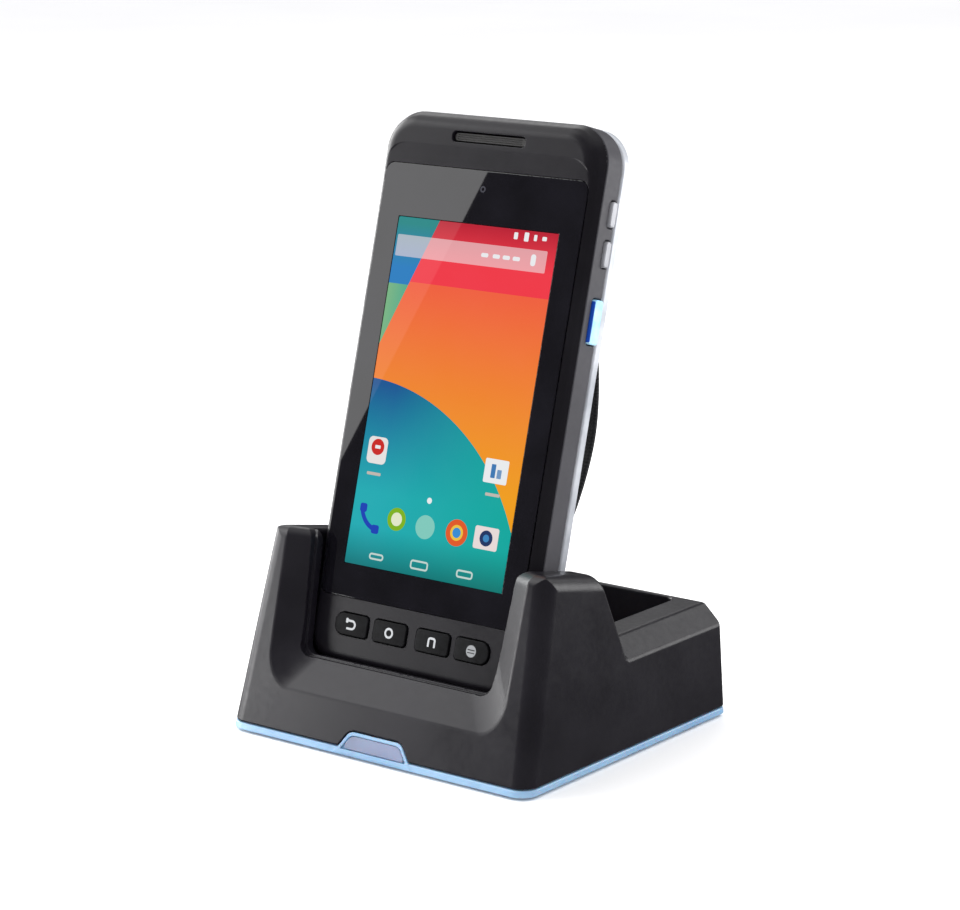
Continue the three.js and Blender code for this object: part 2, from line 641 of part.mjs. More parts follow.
function handStrap() {
  const curve = new THREE.SplineCurve(STRAP.route.map(([up, out]) => new THREE.Vector2(up, out)));
  const inner = [];
  const outer = [];
  for (let step = 0; step <= STRAP.steps; step += 1) {
    const place = curve.getPoint(step / STRAP.steps);
    const along = curve.getTangent(step / STRAP.steps);
    const side = new THREE.Vector2(-along.y, along.x).multiplyScalar(STRAP.thickness / 2);
    inner.push(place.clone().add(side));
    outer.push(place.clone().sub(side));
  }
  return alongX([...inner, ...outer.reverse()], -STRAP.half, STRAP.half);
}

function strapAnchor([bottom, top]) {
  const outline = (inset) => rectangle(
    -ANCHOR.half + inset, bottom + inset, ANCHOR.half - inset, top - inset, ANCHOR.radius);
  const body = loft([
    atHeight(outline(1), ANCHOR.back), atHeight(outline(0), ANCHOR.back + 1),
    atHeight(outline(0), ANCHOR.front),
  ]);
  const half = STRAP.half + 0.6;
  return cut(body, block([-half, bottom - 5, ANCHOR.slotBack], [half, top + 5, ANCHOR.slotFront]));
}

function dockContacts() {
  const { half, back, front } = CONTACTS;
  const carrier = block([-half, BODY.bottom + 0.2, back], [half, BODY.bottom + 3.2, front]);
  const middle = (back + front) / 2;
  const pads = pitchPlaces(CONTACTS).map((x) =>
    block([x - 1.2, BODY.bottom, middle - 1.4], [x + 1.2, BODY.bottom + 1, middle + 1.4]));
  return join(carrier, ...pads);
}

function rearCamera() {
  const { across, up, radius } = REAR_CAMERA;
  const barrel = column(across, up, radius, -16.3, -8.6);
  const foot = block([across - 5.5, up - 5.5, -11], [across + 5.5, up + 5.5, -8]);
  return cut(join(barrel, foot), column(across, up, 2.2, -20, -14.5));
}

const touchGlass = () => prism(
  rectangle(-GLASS.half, GLASS.bottom, GLASS.half, GLASS.top, GLASS.radius), GLASS.back, GLASS.front);

const displayPanel = () => block(
  [-DISPLAY.half, -DISPLAY.halfHeight, DISPLAY.back],
  [DISPLAY.half, DISPLAY.halfHeight, DISPLAY.front]);

const batteryDoor = () => prism(
  rectangle(-DOOR.half, DOOR.bottom, DOOR.half, DOOR.top, DOOR.radius), DOOR.back, DOOR.front);

const scanWindow = () => block(
  [-SCAN_WINDOW.half, BODY.top - 2.6, SCAN_WINDOW.back],
  [SCAN_WINDOW.half, BODY.top - 0.2, SCAN_WINDOW.front]);

const speaker = () => block(
  [SPEAKER.left, SPEAKER.bottom, -14.8], [SPEAKER.right, SPEAKER.top, -9]);

const cameraWindow = () => column(
  REAR_CAMERA.across, REAR_CAMERA.up, REAR_CAMERA.windowRadius, -17.2, -16.6);

addPiece(terminal, 'front_housing', frontHousing(), charcoal);
addPiece(terminal, 'mid_frame', midFrame(), sidePlastic);
addPiece(terminal, 'trim_band', bodyRing(TRIM.back, TRIM.front), silver);
addPiece(terminal, 'back_cover', backCover(), charcoal);
addPiece(terminal, 'touch_glass', touchGlass(), blackGlass);
addPiece(terminal, 'display_panel', displayPanel(), blackGlass);
addPiece(terminal, 'earpiece_grille', earpieceGrille(), blackPlastic);
addPiece(terminal, 'front_camera', column(0, CAMERA.up, CAMERA.radius, -4.6, -1.6), blackGlass);
Object.entries(KEY_CENTRES).forEach(([name, centre]) =>
  addPiece(terminal, name, frontKey(centre), blackPlastic));
addPiece(terminal, 'upper_side_button', sideKey(SIDE_KEYS.upper_side_button), silver);
addPiece(terminal, 'lower_side_button', sideKey(SIDE_KEYS.lower_side_button), silver);
addPiece(terminal, 'scan_trigger', sideKey(SIDE_KEYS.scan_trigger), blueKey);
addPiece(terminal, 'keypad_board', block([-31, -75, -7], [31, -63.5, -5.8]), boardGreen);
addPiece(terminal, 'main_board', mainBoard(), boardGreen);
addPiece(terminal, 'battery_pack', prism(rectangle(-27, -48, 27, 22.5, 2), -15, -8.6), battery);
addPiece(terminal, 'battery_door', batteryDoor(), charcoal);
addPiece(terminal, 'scan_engine', block([-10, 63, -12.6], [10, 79.5, -5]), blackPlastic);
addPiece(terminal, 'scan_window', scanWindow(), blackGlass);
addPiece(terminal, 'speaker', speaker(), blackPlastic);
addPiece(terminal, 'rear_camera', rearCamera(), blackPlastic);
addPiece(terminal, 'camera_window', cameraWindow(), blackGlass);
addPiece(terminal, 'dock_contacts', dockContacts(), gold);
Object.entries(ANCHORS).forEach(([name, span]) =>
  addPiece(terminal, name, strapAnchor(span), charcoal));
addPiece(terminal, 'hand_strap', handStrap(), webbing);
BACK_SCREWS.forEach(([x, y], index) =>
  addPiece(terminal, `back_screw_${index + 1}`, screw(x, y, -16.8, 1.2, 1.8, 4), steel));

export default model;
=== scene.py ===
import json
import math

import bpy
import numpy as np
from mathutils import Matrix, Vector


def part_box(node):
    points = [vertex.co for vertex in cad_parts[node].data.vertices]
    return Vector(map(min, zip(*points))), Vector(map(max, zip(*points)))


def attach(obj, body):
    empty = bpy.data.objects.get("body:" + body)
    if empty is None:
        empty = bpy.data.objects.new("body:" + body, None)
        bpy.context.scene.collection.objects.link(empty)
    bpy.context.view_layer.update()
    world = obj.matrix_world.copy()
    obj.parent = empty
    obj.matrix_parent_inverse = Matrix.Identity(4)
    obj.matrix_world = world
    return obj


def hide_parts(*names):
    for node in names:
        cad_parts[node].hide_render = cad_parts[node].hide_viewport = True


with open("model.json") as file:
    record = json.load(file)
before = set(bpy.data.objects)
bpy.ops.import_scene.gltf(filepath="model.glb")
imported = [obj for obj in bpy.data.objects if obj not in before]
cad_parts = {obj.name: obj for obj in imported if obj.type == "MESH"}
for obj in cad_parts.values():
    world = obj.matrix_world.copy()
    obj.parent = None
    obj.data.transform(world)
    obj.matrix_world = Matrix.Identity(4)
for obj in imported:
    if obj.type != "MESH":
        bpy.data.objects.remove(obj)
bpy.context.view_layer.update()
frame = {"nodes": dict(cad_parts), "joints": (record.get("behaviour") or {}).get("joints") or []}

# Looks of a handheld data terminal in its desktop charging cradle.
#
# Shapes are written as signed distance fields in millimetres: negative inside, positive outside.
# The cradle's fields take (x, y, z) of the row frame. The terminal's take (u, v, n): u across the
# screen, v up it and n out of the glass, from the display's centre.

MM = 0.001
COARSE = 1.0
NODES = frame["nodes"]

# ---- the screen's own frame


def read(items, attribute, kind=np.int32, width=1):
    """One attribute of all of a mesh's vertices, corners or faces, as a flat array."""
    values = np.empty(len(items) * width, kind)
    items.foreach_get(attribute, values)
    return values


def node_points(name):
    """A CAD node's vertices in the row frame, in metres."""
    return read(NODES[name].data.vertices, "co", float, 3).reshape(-1, 3)


def screen_frame():
    """Matrix from (u, v, n) to the row frame, in metres."""
    lift = next(joint for joint in frame["joints"] if joint["name"] == "lift_out")
    across = np.array([1.0, 0.0, 0.0])
    up = np.array(lift["axis"])
    out = np.cross(across, up)
    display = node_points("display_panel")
    middle = [((display @ axis).min() + (display @ axis).max()) / 2 for axis in (across, up)]
    glass_face = (node_points("touch_glass") @ out).max()
    origin = across * middle[0] + up * middle[1] + out * glass_face
    columns = [Vector(axis) for axis in (across, up, out)]
    matrix = Matrix(columns).transposed().to_4x4()
    matrix.translation = Vector(origin)
    return matrix


SCREEN = screen_frame()
TO_SCREEN = np.array(SCREEN.inverted())


def span(name):
    """Lowest and highest (u, v, n) of a terminal node, in millimetres."""
    points = node_points(name) @ TO_SCREEN[:3, :3].T + TO_SCREEN[:3, 3]
    return points.min(0) / MM, points.max(0) / MM


def box_mm(name):
    """Lowest and highest (x, y, z) of a node, in millimetres."""
    low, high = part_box(name)
    return np.array(low) / MM, np.array(high) / MM


# ---- distance fields


def both(radius, first, second):
    """What two fields share, with the edge where they meet rounded."""
    outside = np.hypot(np.maximum(first + radius, 0), np.maximum(second + radius, 0))
    return np.minimum(np.maximum(first, second), -radius) + outside


def either(radius, first, second):
    """Two fields joined, with a fillet where they meet."""
    return -both(radius, -first, -second)


def without(radius, body, tool):
    """A body with a tool taken off, and the edge that leaves rounded."""
    return both(radius, body, -tool)


def between(value, low, high):
    """Distance to the range from low to high."""
    return np.abs(value - (low + high) / 2) - (high - low) / 2


def rectangle(across, up, low, high, radius):
    """Distance to a rectangle with rounded corners, from its low to its high corner."""
    side = between(across, low[0], high[0]) + radius
    rise = between(up, low[1], high[1]) + radius
    corner = np.hypot(np.maximum(side, 0), np.maximum(rise, 0))
    return corner + np.minimum(np.maximum(side, rise), 0) - radius


def box_field(point, low, high, radius=0.3):
    """Distance to a box with rounded upright edges."""
    flat = rectangle(point[0], point[1], low[:2], high[:2], radius)
    return np.maximum(flat, between(point[2], low[2], high[2]))


# ---- meshes from fields

CORNERS = np.array([(i, j, k) for i in (0, 1) for j in (0, 1) for k in (0, 1)])
EDGES = [(a, b) for a in range(8) for b in range(a + 1, 8) if abs(CORNERS[a] - CORNERS[b]).sum() == 1]
GRADIENT_REACH = 0.03  # millimetres
NORMAL_PULL = 0.3  # millimetres from a corner to where its normal is read
LEAST_SLOPE = 0.05  # keeps a point still where its field is flat
AIR = 1.5  # grid steps round each carved range


def gradient(field, points):
    """The field's slope at each point, outwards."""
    columns = []
    for axis in range(3):
        step = np.zeros(3)
        step[axis] = GRADIENT_REACH
        columns.append(field(*(points + step).T) - field(*(points - step).T))
    slope = np.stack(columns, 1)
    return slope / (2 * GRADIENT_REACH)


def settle(field, points, turns=3):
    """Moves points onto the surface where the field is zero."""
    for _ in range(turns):
        slope = gradient(field, points)
        size = np.maximum((slope**2).sum(1), LEAST_SLOPE)
        points = points - slope * (field(*points.T) / size)[:, None]
    return points


def surface_nets(field, low, high, step):
    """Vertices and quads round every grid cell that the surface passes through."""
    low = np.array(low, float) - AIR * step
    counts = np.ceil((np.array(high) + AIR * step - low) / step).astype(int) + 1
    axes = [low[i] + step * np.arange(counts[i]) for i in range(3)]
    grid = np.meshgrid(*[axis.astype(np.float32) for axis in axes], indexing="ij", sparse=True)
    values = np.broadcast_to(field(*grid), counts).astype(np.float32)
    inside = values < 0
    cells = counts - 1
    filled = np.zeros(cells, np.int8)
    for i, j, k in CORNERS:
        filled += inside[i:i + cells[0], j:j + cells[1], k:k + cells[2]]
    active = (filled > 0) & (filled < 8)
    place = np.argwhere(active)
    samples = values[tuple((place[:, None, :] + CORNERS[None]).transpose(2, 0, 1))]
    total = np.zeros((len(place), 3))
    hits = np.zeros(len(place))
    for a, b in EDGES:
        first, second = samples[:, a], samples[:, b]
        crossed = (first < 0) != (second < 0)
        share = np.where(crossed, first / np.where(crossed, first - second, 1), 0)[:, None]
        total += np.where(crossed[:, None], CORNERS[a] + share * (CORNERS[b] - CORNERS[a]), 0)
        hits += crossed
    vertices = low + step * (place + total / hits[:, None])
    number = np.full(cells, -1, np.int32)
    number[active] = np.arange(len(place))
    quads = []
    for axis in range(3):
        ahead = np.zeros(3, int)
        ahead[axis] = 1
        sides = [other for other in range(3) if other != axis]
        limit = [slice(1, cells[i]) if i in sides else slice(0, cells[i]) for i in range(3)]
        start = inside[tuple(limit)]
        shifted = [slice(s.start + ahead[i], s.stop + ahead[i]) for i, s in enumerate(limit)]
        end = inside[tuple(shifted)]
        crossing = np.argwhere(start != end)
        leaving = start[tuple(crossing.T)]
        crossing = crossing + [s.start for s in limit]
        loop = []
        for back_first, back_second in ((1, 1), (0, 1), (0, 0), (1, 0)):
            cell = crossing.copy()
            cell[:, sides[0]] -= back_first
            cell[:, sides[1]] -= back_second
            loop.append(number[tuple(cell.T)])
        quad = np.stack(loop, 1)
        forward = leaving if axis != 1 else ~leaving
        quads.append(np.where(forward[:, None], quad, quad[:, ::-1]))
    return vertices, np.concatenate(quads)


def make_object(name, vertices, faces):
    """A mesh object; vertices in metres, faces all with the same number of corners."""
    mesh = bpy.data.meshes.new(name)
    sides = faces.shape[1]
    mesh.vertices.add(len(vertices))
    mesh.vertices.foreach_set("co", np.asarray(vertices, np.float32).ravel())
    mesh.loops.add(faces.size)
    mesh.loops.foreach_set("vertex_index", faces.astype(np.int32).ravel())
    mesh.polygons.add(len(faces))
    mesh.polygons.foreach_set("loop_start", np.arange(0, faces.size, sides, dtype=np.int32))
    mesh.update(calc_edges=True)
    mesh.validate()
    obj = bpy.data.objects.new(name, mesh)
    bpy.context.scene.collection.objects.link(obj)
    return obj


def thin_out(obj, keep):
    """Leaves about this share of the triangles, most of them where the surface bends."""
    modifier = obj.modifiers.new("thin", "DECIMATE")
    modifier.ratio = keep
    made = obj.evaluated_get(bpy.context.evaluated_depsgraph_get())
    mesh = bpy.data.meshes.new_from_object(made)
    obj.modifiers.clear()
    old = obj.data
    obj.data = mesh
    bpy.data.meshes.remove(old)


def shade_from(field, obj):
    """Puts the vertices back on the surface and takes each corner's normal from the field."""
    mesh = obj.data
    points = read(mesh.vertices, "co", float, 3).reshape(-1, 3)
    points = settle(field, points / MM, 2)
    mesh.vertices.foreach_set("co", (points * MM).ravel())
    mesh.update()
    corner = read(mesh.loops, "vertex_index")
    starts = read(mesh.polygons, "loop_start")
    sizes = read(mesh.polygons, "loop_total")
    sums = np.add.reduceat(points[corner], starts, axis=0)
    centres = np.repeat(sums / sizes[:, None], sizes, axis=0)
    inward = centres - points[corner]
    reach = np.linalg.norm(inward, axis=1, keepdims=True)
    pulled = points[corner] + inward * np.minimum(NORMAL_PULL / np.maximum(reach, 1e-6), 0.5)
    normals = gradient(field, pulled)
    normals /= np.maximum(np.linalg.norm(normals, axis=1, keepdims=True), 1e-9)
    mesh.polygons.foreach_set("use_smooth", np.ones(len(mesh.polygons), bool))
    mesh.normals_split_custom_set(normals.tolist())


def carve(name, field, low, high, step, keep):
    """A smooth closed mesh of everything inside a field, within a box in millimetres."""
    vertices, quads = surface_nets(field, low, high, step * COARSE)
    vertices = settle(field, vertices)
    obj = make_object(name, vertices * MM, quads)
    thin_out(obj, keep)
    shade_from(field, obj)
    return obj


def finish_piece(obj, body, material, stands_for):
    obj.data.materials.clear()
    obj.data.materials.append(material)
    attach(obj, body)
    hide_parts(*stands_for)


def on_screen(obj):
    """Turns an object drawn in (u, v, n) into place on the terminal."""
    obj.matrix_world = SCREEN
    return obj


# ---- node materials


class Shader:
    """A Principled material and short names for the nodes that feed it."""

    def __init__(self, name, **values):
        self.material = bpy.data.materials.new(name)
        self.material.use_nodes = True
        self.tree = self.material.node_tree
        self.surface = next(node for node in self.tree.nodes if node.type == "BSDF_PRINCIPLED")
        self.set(**values)

    def set(self, **values):
        """Gives the surface's inputs numbers, colours or the outputs of other nodes."""
        for name, value in values.items():
            self.feed(self.surface.inputs[name.replace("_", " ")], value)

    def node(self, kind, settings=(), **inputs):
        node = self.tree.nodes.new(kind)
        for name, value in dict(settings).items():
            setattr(node, name, value)
        for name, value in inputs.items():
            self.feed(node.inputs[name.replace("_", " ")], value)
        return node

    def feed(self, socket, value):
        if isinstance(value, bpy.types.NodeSocket):
            self.tree.links.new(value, socket)
        else:
            socket.default_value = value

    def math(self, operation, first, second=0.0):
        node = self.node("ShaderNodeMath", {"operation": operation})
        self.feed(node.inputs[0], first)
        self.feed(node.inputs[1], second)
        return node.outputs[0]

    def vector(self, operation, first, second=(0.0, 0.0, 0.0)):
        node = self.node("ShaderNodeVectorMath", {"operation": operation})
        self.feed(node.inputs[0], first)
        self.feed(node.inputs[1], second)
        return node.outputs["Value" if operation in ("DISTANCE", "LENGTH") else 0]

    def place(self):
        """Position on the piece's own axes, in millimetres."""
        where = self.node("ShaderNodeTexCoord").outputs["Object"]
        return self.vector("MULTIPLY", where, (1000.0, 1000.0, 1000.0))

    def noise(self, where, scale, detail=3.0, roughness=0.5):
        node = self.node(
            "ShaderNodeTexNoise", Vector=where, Scale=scale, Detail=detail, Roughness=roughness)
        return node.outputs[0]

    def spread(self, value, low, high, start=0.35, end=0.65):
        """Maps a noise value from its usual band to low..high."""
        node = self.node("ShaderNodeMapRange")
        for name, number in (("From Min", start), ("From Max", end), ("To Min", low), ("To Max", high)):
            node.inputs[name].default_value = number
        self.feed(node.inputs["Value"], value)
        return node.outputs[0]

    def mix(self, share, first, second):
        """Two colours mixed, each as seen on a display, 0 to 255, or from another node."""
        node = self.node("ShaderNodeMix", {"data_type": "RGBA"})
        self.feed(node.inputs[0], share)
        for socket, colour in ((node.inputs[6], first), (node.inputs[7], second)):
            self.feed(socket, linear(*colour) if isinstance(colour, tuple) else colour)
        return node.outputs[2]

    def drift(self, noise, first, second, share=1.0):
        """The first colour, clouded by up to this share of the second."""
        return self.mix(self.spread(noise, 0.0, share), first, second)

    def bump(self, height, depth, strength):
        """Relief of a depth in millimetres."""
        node = self.node("ShaderNodeBump", Height=height, Distance=depth * MM, Strength=strength)
        self.set(Normal=node.outputs[0])

    def worn_edge(self, share):
        """This share along outer edges, 0 elsewhere."""
        point = self.node("ShaderNodeNewGeometry").outputs["Pointiness"]
        return self.spread(point, 0.0, share, 0.52, 0.6)


def linear(*levels):
    """A linear colour from red, green and blue as seen on a display, 0 to 255."""
    shares = [level / 255 for level in levels]
    return *(s / 12.92 if s <= 0.04045 else ((s + 0.055) / 1.055) ** 2.4 for s in shares), 1.0


def moulded_plastic(name, colour, lighter, roughness=0.42, shine=0.5, grain=0.5, depth=0.008):
    """Spark-eroded moulded plastic: fine grain, cloudy gloss, slightly lighter worn edges."""
    shader = Shader(name, Specular_IOR_Level=shine)
    where = shader.place()
    cloud = shader.noise(where, 0.06)
    fine = shader.noise(where, 3.2 * grain, 4.0, 0.6)
    speck = shader.noise(where, 1.1 * grain, 2.0)
    tone = shader.drift(cloud, colour, lighter, 0.45)
    tone = shader.mix(shader.worn_edge(0.35), tone, lighter)
    gloss = shader.math("ADD", shader.spread(speck, -0.03, 0.03), shader.spread(cloud, -0.02, 0.03))
    shader.set(Base_Color=tone, Roughness=shader.math("ADD", gloss, roughness))
    shader.bump(fine, depth, 0.6)
    return shader.material


def plain_rubber(name):
    """Dull grey-black rubber."""
    shader = Shader(name)
    speck = shader.noise(shader.place(), 2.5, 3.0)
    shader.set(
        Base_Color=shader.drift(speck, (24, 24, 26), (38, 38, 40)),
        Roughness=shader.spread(speck, 0.75, 0.92))
    shader.bump(speck, 0.05, 0.5)
    return shader.material


def metal(name, colour, darker, roughness):
    """Drawn or plated metal, with streaks along its length."""
    shader = Shader(name, Metallic=1.0)
    stretched = shader.vector("MULTIPLY", shader.place(), (0.4, 6.0, 6.0))
    lines = shader.noise(stretched, 1.0, 4.0, 0.6)
    shader.set(
        Base_Color=shader.drift(lines, colour, darker, 0.6),
        Roughness=shader.spread(lines, roughness - 0.05, roughness + 0.07))
    shader.bump(lines, 0.01, 0.4)
    return shader.material


def silver_paint(name, colour, lighter):
    """Silver-painted plastic: bright, satin, with a faint cloudiness."""
    shader = Shader(name, Metallic=0.4)
    where = shader.place()
    cloud = shader.noise(where, 0.12)
    shader.set(
        Base_Color=shader.drift(cloud, colour, lighter), Roughness=shader.spread(cloud, 0.36, 0.41))
    shader.bump(shader.noise(where, 2.0), 0.003, 0.3)
    return shader.material


def lit_plastic(name, colour, paler, glow):
    """Translucent plastic that carries light, brighter in patches."""
    shader = Shader(name, Roughness=0.3, Subsurface_Weight=0.3, Subsurface_Scale=0.002)
    where = shader.place()
    tone = shader.drift(shader.noise(where, 0.05), colour, paler)
    shader.set(Base_Color=tone, Emission_Color=tone, Emission_Strength=glow)
    shader.bump(shader.noise(where, 1.5), 0.01, 0.3)
    return shader.material


def circuit_board(name):
    """Green board with paler tracks."""
    shader = Shader(name, Roughness=0.4)
    cells = shader.node(
        "ShaderNodeTexVoronoi", {"distance": "MANHATTAN"}, Vector=shader.place(), Scale=0.35)
    tracks = shader.spread(cells.outputs["Distance"], 0.0, 1.0, 0.3, 0.42)
    shader.set(Base_Color=shader.mix(tracks, (18, 74, 48), (34, 112, 72)))
    shader.bump(tracks, 0.03, 0.5)
    return shader.material


WEFT_PITCH, WARP_PITCH = 1.1, 0.9  # millimetres between the strap's threads


def woven_strap(name):
    """Black webbing: rows of weft over warp, from the strap's own width and run."""
    shader = Shader(name, Sheen_Weight=0.3, Sheen_Roughness=0.5)
    run = shader.node("ShaderNodeUVMap", {"uv_map": "run"}).outputs[0]
    parts = shader.node("ShaderNodeSeparateXYZ", Vector=run)
    rows = shader.math("SINE", shader.math("MULTIPLY", parts.outputs[1], 2 * math.pi / WEFT_PITCH))
    warp = shader.math("SINE", shader.math("MULTIPLY", parts.outputs[0], 2 * math.pi / WARP_PITCH))
    weave = shader.math("MULTIPLY", rows, warp)
    ribs = shader.math("ADD", shader.math("MULTIPLY", rows, 0.6), shader.math("MULTIPLY", weave, 0.5))
    fuzz = shader.noise(shader.place(), 1.6, 4.0)
    share = shader.spread(ribs, 0.0, 0.8, -1.0, 1.0)
    tone = shader.mix(share, (13, 13, 15), (34, 34, 38))
    shader.set(
        Base_Color=shader.drift(fuzz, tone, (46, 46, 50), 0.35),
        Roughness=shader.spread(fuzz, 0.72, 0.9))
    shader.bump(shader.math("ADD", ribs, shader.math("MULTIPLY", fuzz, 0.8)), 0.12, 0.8)
    return shader.material


def lens_glass(name):
    """Dark coated glass."""
    shader = Shader(name, Roughness=0.05, Coat_Weight=1.0, Coat_Roughness=0.03)
    cloud = shader.noise(shader.place(), 0.4)
    shader.set(Base_Color=shader.drift(cloud, (8, 8, 14), (24, 20, 40)))
    return shader.material


class Picture(Shader):
    """A material painted from flat shapes, given in (u, v) millimetres."""

    def __init__(self, name, **values):
        super().__init__(name, **values)
        place = self.place()
        self.flat = self.vector("MULTIPLY", place, (1.0, 1.0, 0.0))
        parts = self.node("ShaderNodeSeparateXYZ", Vector=place)
        self.u, self.v = parts.outputs[0], parts.outputs[1]
        self.tone = None

    def paint(self, mask, colour):
        self.tone = self.mix(mask, self.tone, colour)

    def blend(self, value, start, end, low, high):
        """A colour that turns from low to high as value goes from start to end."""
        return self.mix(self.spread(value, 0.0, 1.0, start, end), low, high)

    def overlap(self, first, second):
        return self.math("MULTIPLY", first, second)

    def above(self, v):
        return self.math("GREATER_THAN", self.v, v)

    def disc(self, u, v, radius):
        distance = self.vector("DISTANCE", self.flat, (u, v, 0.0))
        return self.math("LESS_THAN", distance, radius)

    def ring(self, u, v, inner, outer):
        return self.math("SUBTRACT", self.disc(u, v, outer), self.disc(u, v, inner))

    def box(self, u, v, half_u, half_v, radius):
        away = self.vector("ABSOLUTE", self.vector("SUBTRACT", self.flat, (u, v, 0.0)))
        past = self.vector("SUBTRACT", away, (half_u - radius, half_v - radius, 0.0))
        length = self.vector("LENGTH", self.vector("MAXIMUM", past))
        return self.math("LESS_THAN", length, radius)

    def frame(self, u, v, half_u, half_v, radius, line):
        inner = self.box(u, v, half_u - line, half_v - line, max(radius - line, 0.1))
        return self.math("SUBTRACT", self.box(u, v, half_u, half_v, radius), inner)

    def right_of(self, u, v, lean):
        """1 to the right of the line through (u, v) that goes lean across for each 1 up."""
        line = self.math("ADD", self.math("MULTIPLY", self.math("SUBTRACT", self.v, v), lean), u)
        return self.math("GREATER_THAN", self.u, line)


def paint_backdrop(picture):
    """Warm and cool bands that lean, with a big sea-green disc over them."""
    u, v, mix = picture.u, picture.v, picture.mix
    warm = picture.blend(v, -25.0, 32.0, (255, 168, 22), (255, 104, 66))
    red = picture.blend(v, 40.0, 52.0, (255, 62, 76), (196, 32, 52))
    warm = mix(picture.above(33.0), warm, red)
    cool = picture.blend(u, -29.0, -18.0, (124, 188, 134), (30, 172, 150))
    deep = picture.blend(v, 37.0, 50.0, (8, 128, 200), (6, 140, 138))
    cool = mix(picture.above(32.0), cool, deep)
    picture.tone = mix(picture.right_of(-14.5, 50.0, 0.4), cool, warm)
    pale = mix(0.45, picture.tone, (255, 240, 244))
    picture.paint(picture.box(-1.0, 43.4, 27.4, 3.2, 0.4), pale)
    sea = picture.blend(v, -30.0, 2.0, (36, 182, 190), (26, 92, 156))
    rightward = picture.spread(u, 0.0, 1.0, -20.0, 26.0)
    sea = mix(rightward, sea, (14, 178, 168))
    sea = mix(picture.spread(v, 0.62, 0.0, -52.0, -40.0), sea, (4, 66, 60))
    picture.paint(picture.disc(-31.5, -64.0, 67.5), sea)


def paint_marks(picture):
    """Plain marks from top to bottom: status row, entry bar, two tiles, a row of five, captions."""
    paint, disc, box = picture.paint, picture.disc, picture.box
    white = (248, 250, 252)
    for u, half, rise in ((14.4, 0.7, 1.0), (18.2, 0.8, 1.3), (21.4, 0.55, 0.9), (24.6, 0.8, 0.6)):
        paint(box(u, 50.0, half, rise, 0.3), white)
    paint(box(21.8, 43.6, 0.9, 1.7, 0.8), white)
    for u in (4.4, 8.6, 12.2, 15.8):
        paint(box(u, 43.4, 1.3, 0.6, 0.5), white)
    left, right = -23.4, 20.6
    paint(box(left, -17.6, 3.6, 4.0, 1.5), (244, 240, 238))
    paint(disc(left, -16.6, 2.4), (214, 44, 36))
    paint(box(left, -16.6, 1.0, 0.5, 0.2), white)
    paint(box(right, -17.8, 4.2, 3.5, 0.5), white)
    paint(box(right - 1.0, -17.8, 0.8, 2.0, 0.2), (66, 128, 190))
    paint(box(right + 1.2, -18.5, 0.8, 1.3, 0.2), (120, 160, 205))
    for u in (left, right):
        paint(box(u, -24.6, 2.6, 0.45, 0.3), (206, 196, 186))
    paint(disc(-1.4, -29.5, 0.9), white)
    blue = (28, 70, 190)
    quarter = box(-22.8, -38.2, 3.7, 3.9, 0.3)
    paint(picture.overlap(picture.ring(-18.4, -33.6, 6.6, 8.0), quarter), blue)
    paint(box(-25.1, -34.9, 1.3, 1.3, 0.7), blue)
    paint(box(-19.7, -40.7, 1.4, 1.3, 0.7), blue)
    for radius, colour in ((3.4, (136, 190, 30)), (2.0, (240, 246, 214))):
        paint(disc(-12.3, -36.6, radius), colour)
    paint(disc(-1.5, -37.3, 3.5), (138, 214, 200))
    for radius, colour in ((3.9, (238, 96, 40)), (2.3, (250, 206, 70)), (1.5, (60, 150, 224))):
        paint(disc(10.1, -37.2, radius), colour)
    paint(box(20.8, -37.2, 4.3, 3.3, 0.7), (246, 232, 230))
    for radius, colour in ((2.3, (34, 56, 104)), (1.1, (66, 140, 200))):
        paint(disc(20.8, -37.2, radius), colour)
    for u, half, rise in ((-17.6, 2.7, 1.0), (-1.5, 3.3, 1.4), (15.2, 3.0, 1.2)):
        paint(picture.frame(u, -48.6, half, rise, 0.95, 0.55), (206, 226, 220))


def display_glass(name):
    """Black glass over a lit display that shows a plain home page of generic marks."""
    picture = Picture(name, Roughness=0.012, Specular_IOR_Level=0.1)
    paint_backdrop(picture)
    paint_marks(picture)
    rim = 0.1
    lit = picture.box(0.0, 0.0, DISPLAY_HALF[0] - rim, DISPLAY_HALF[1] - rim, rim)
    picture.set(
        Base_Color=picture.drift(picture.noise(picture.flat, 0.05), (9, 9, 12), (15, 15, 19)),
        Emission_Color=picture.mix(lit, (0, 0, 0), picture.tone),
        Emission_Strength=0.86)
    return picture.material


def border_glass(name):
    """Black glass round the display, with a faint lighter ring where the front camera sits behind it:
    partly the camera's rim, partly a painted highlight on its lens.
    """
    picture = Picture(name, Roughness=0.012)
    ink = picture.drift(picture.noise(picture.flat, 0.05), (10, 9, 13), (17, 16, 21))
    # the camera's rim, lightened as a painted highlight on its lens
    camera = picture.ring(*CAMERA_PLACE, 0.5, 0.95)
    picture.set(Base_Color=picture.mix(camera, ink, (58, 58, 64)))
    return picture.material


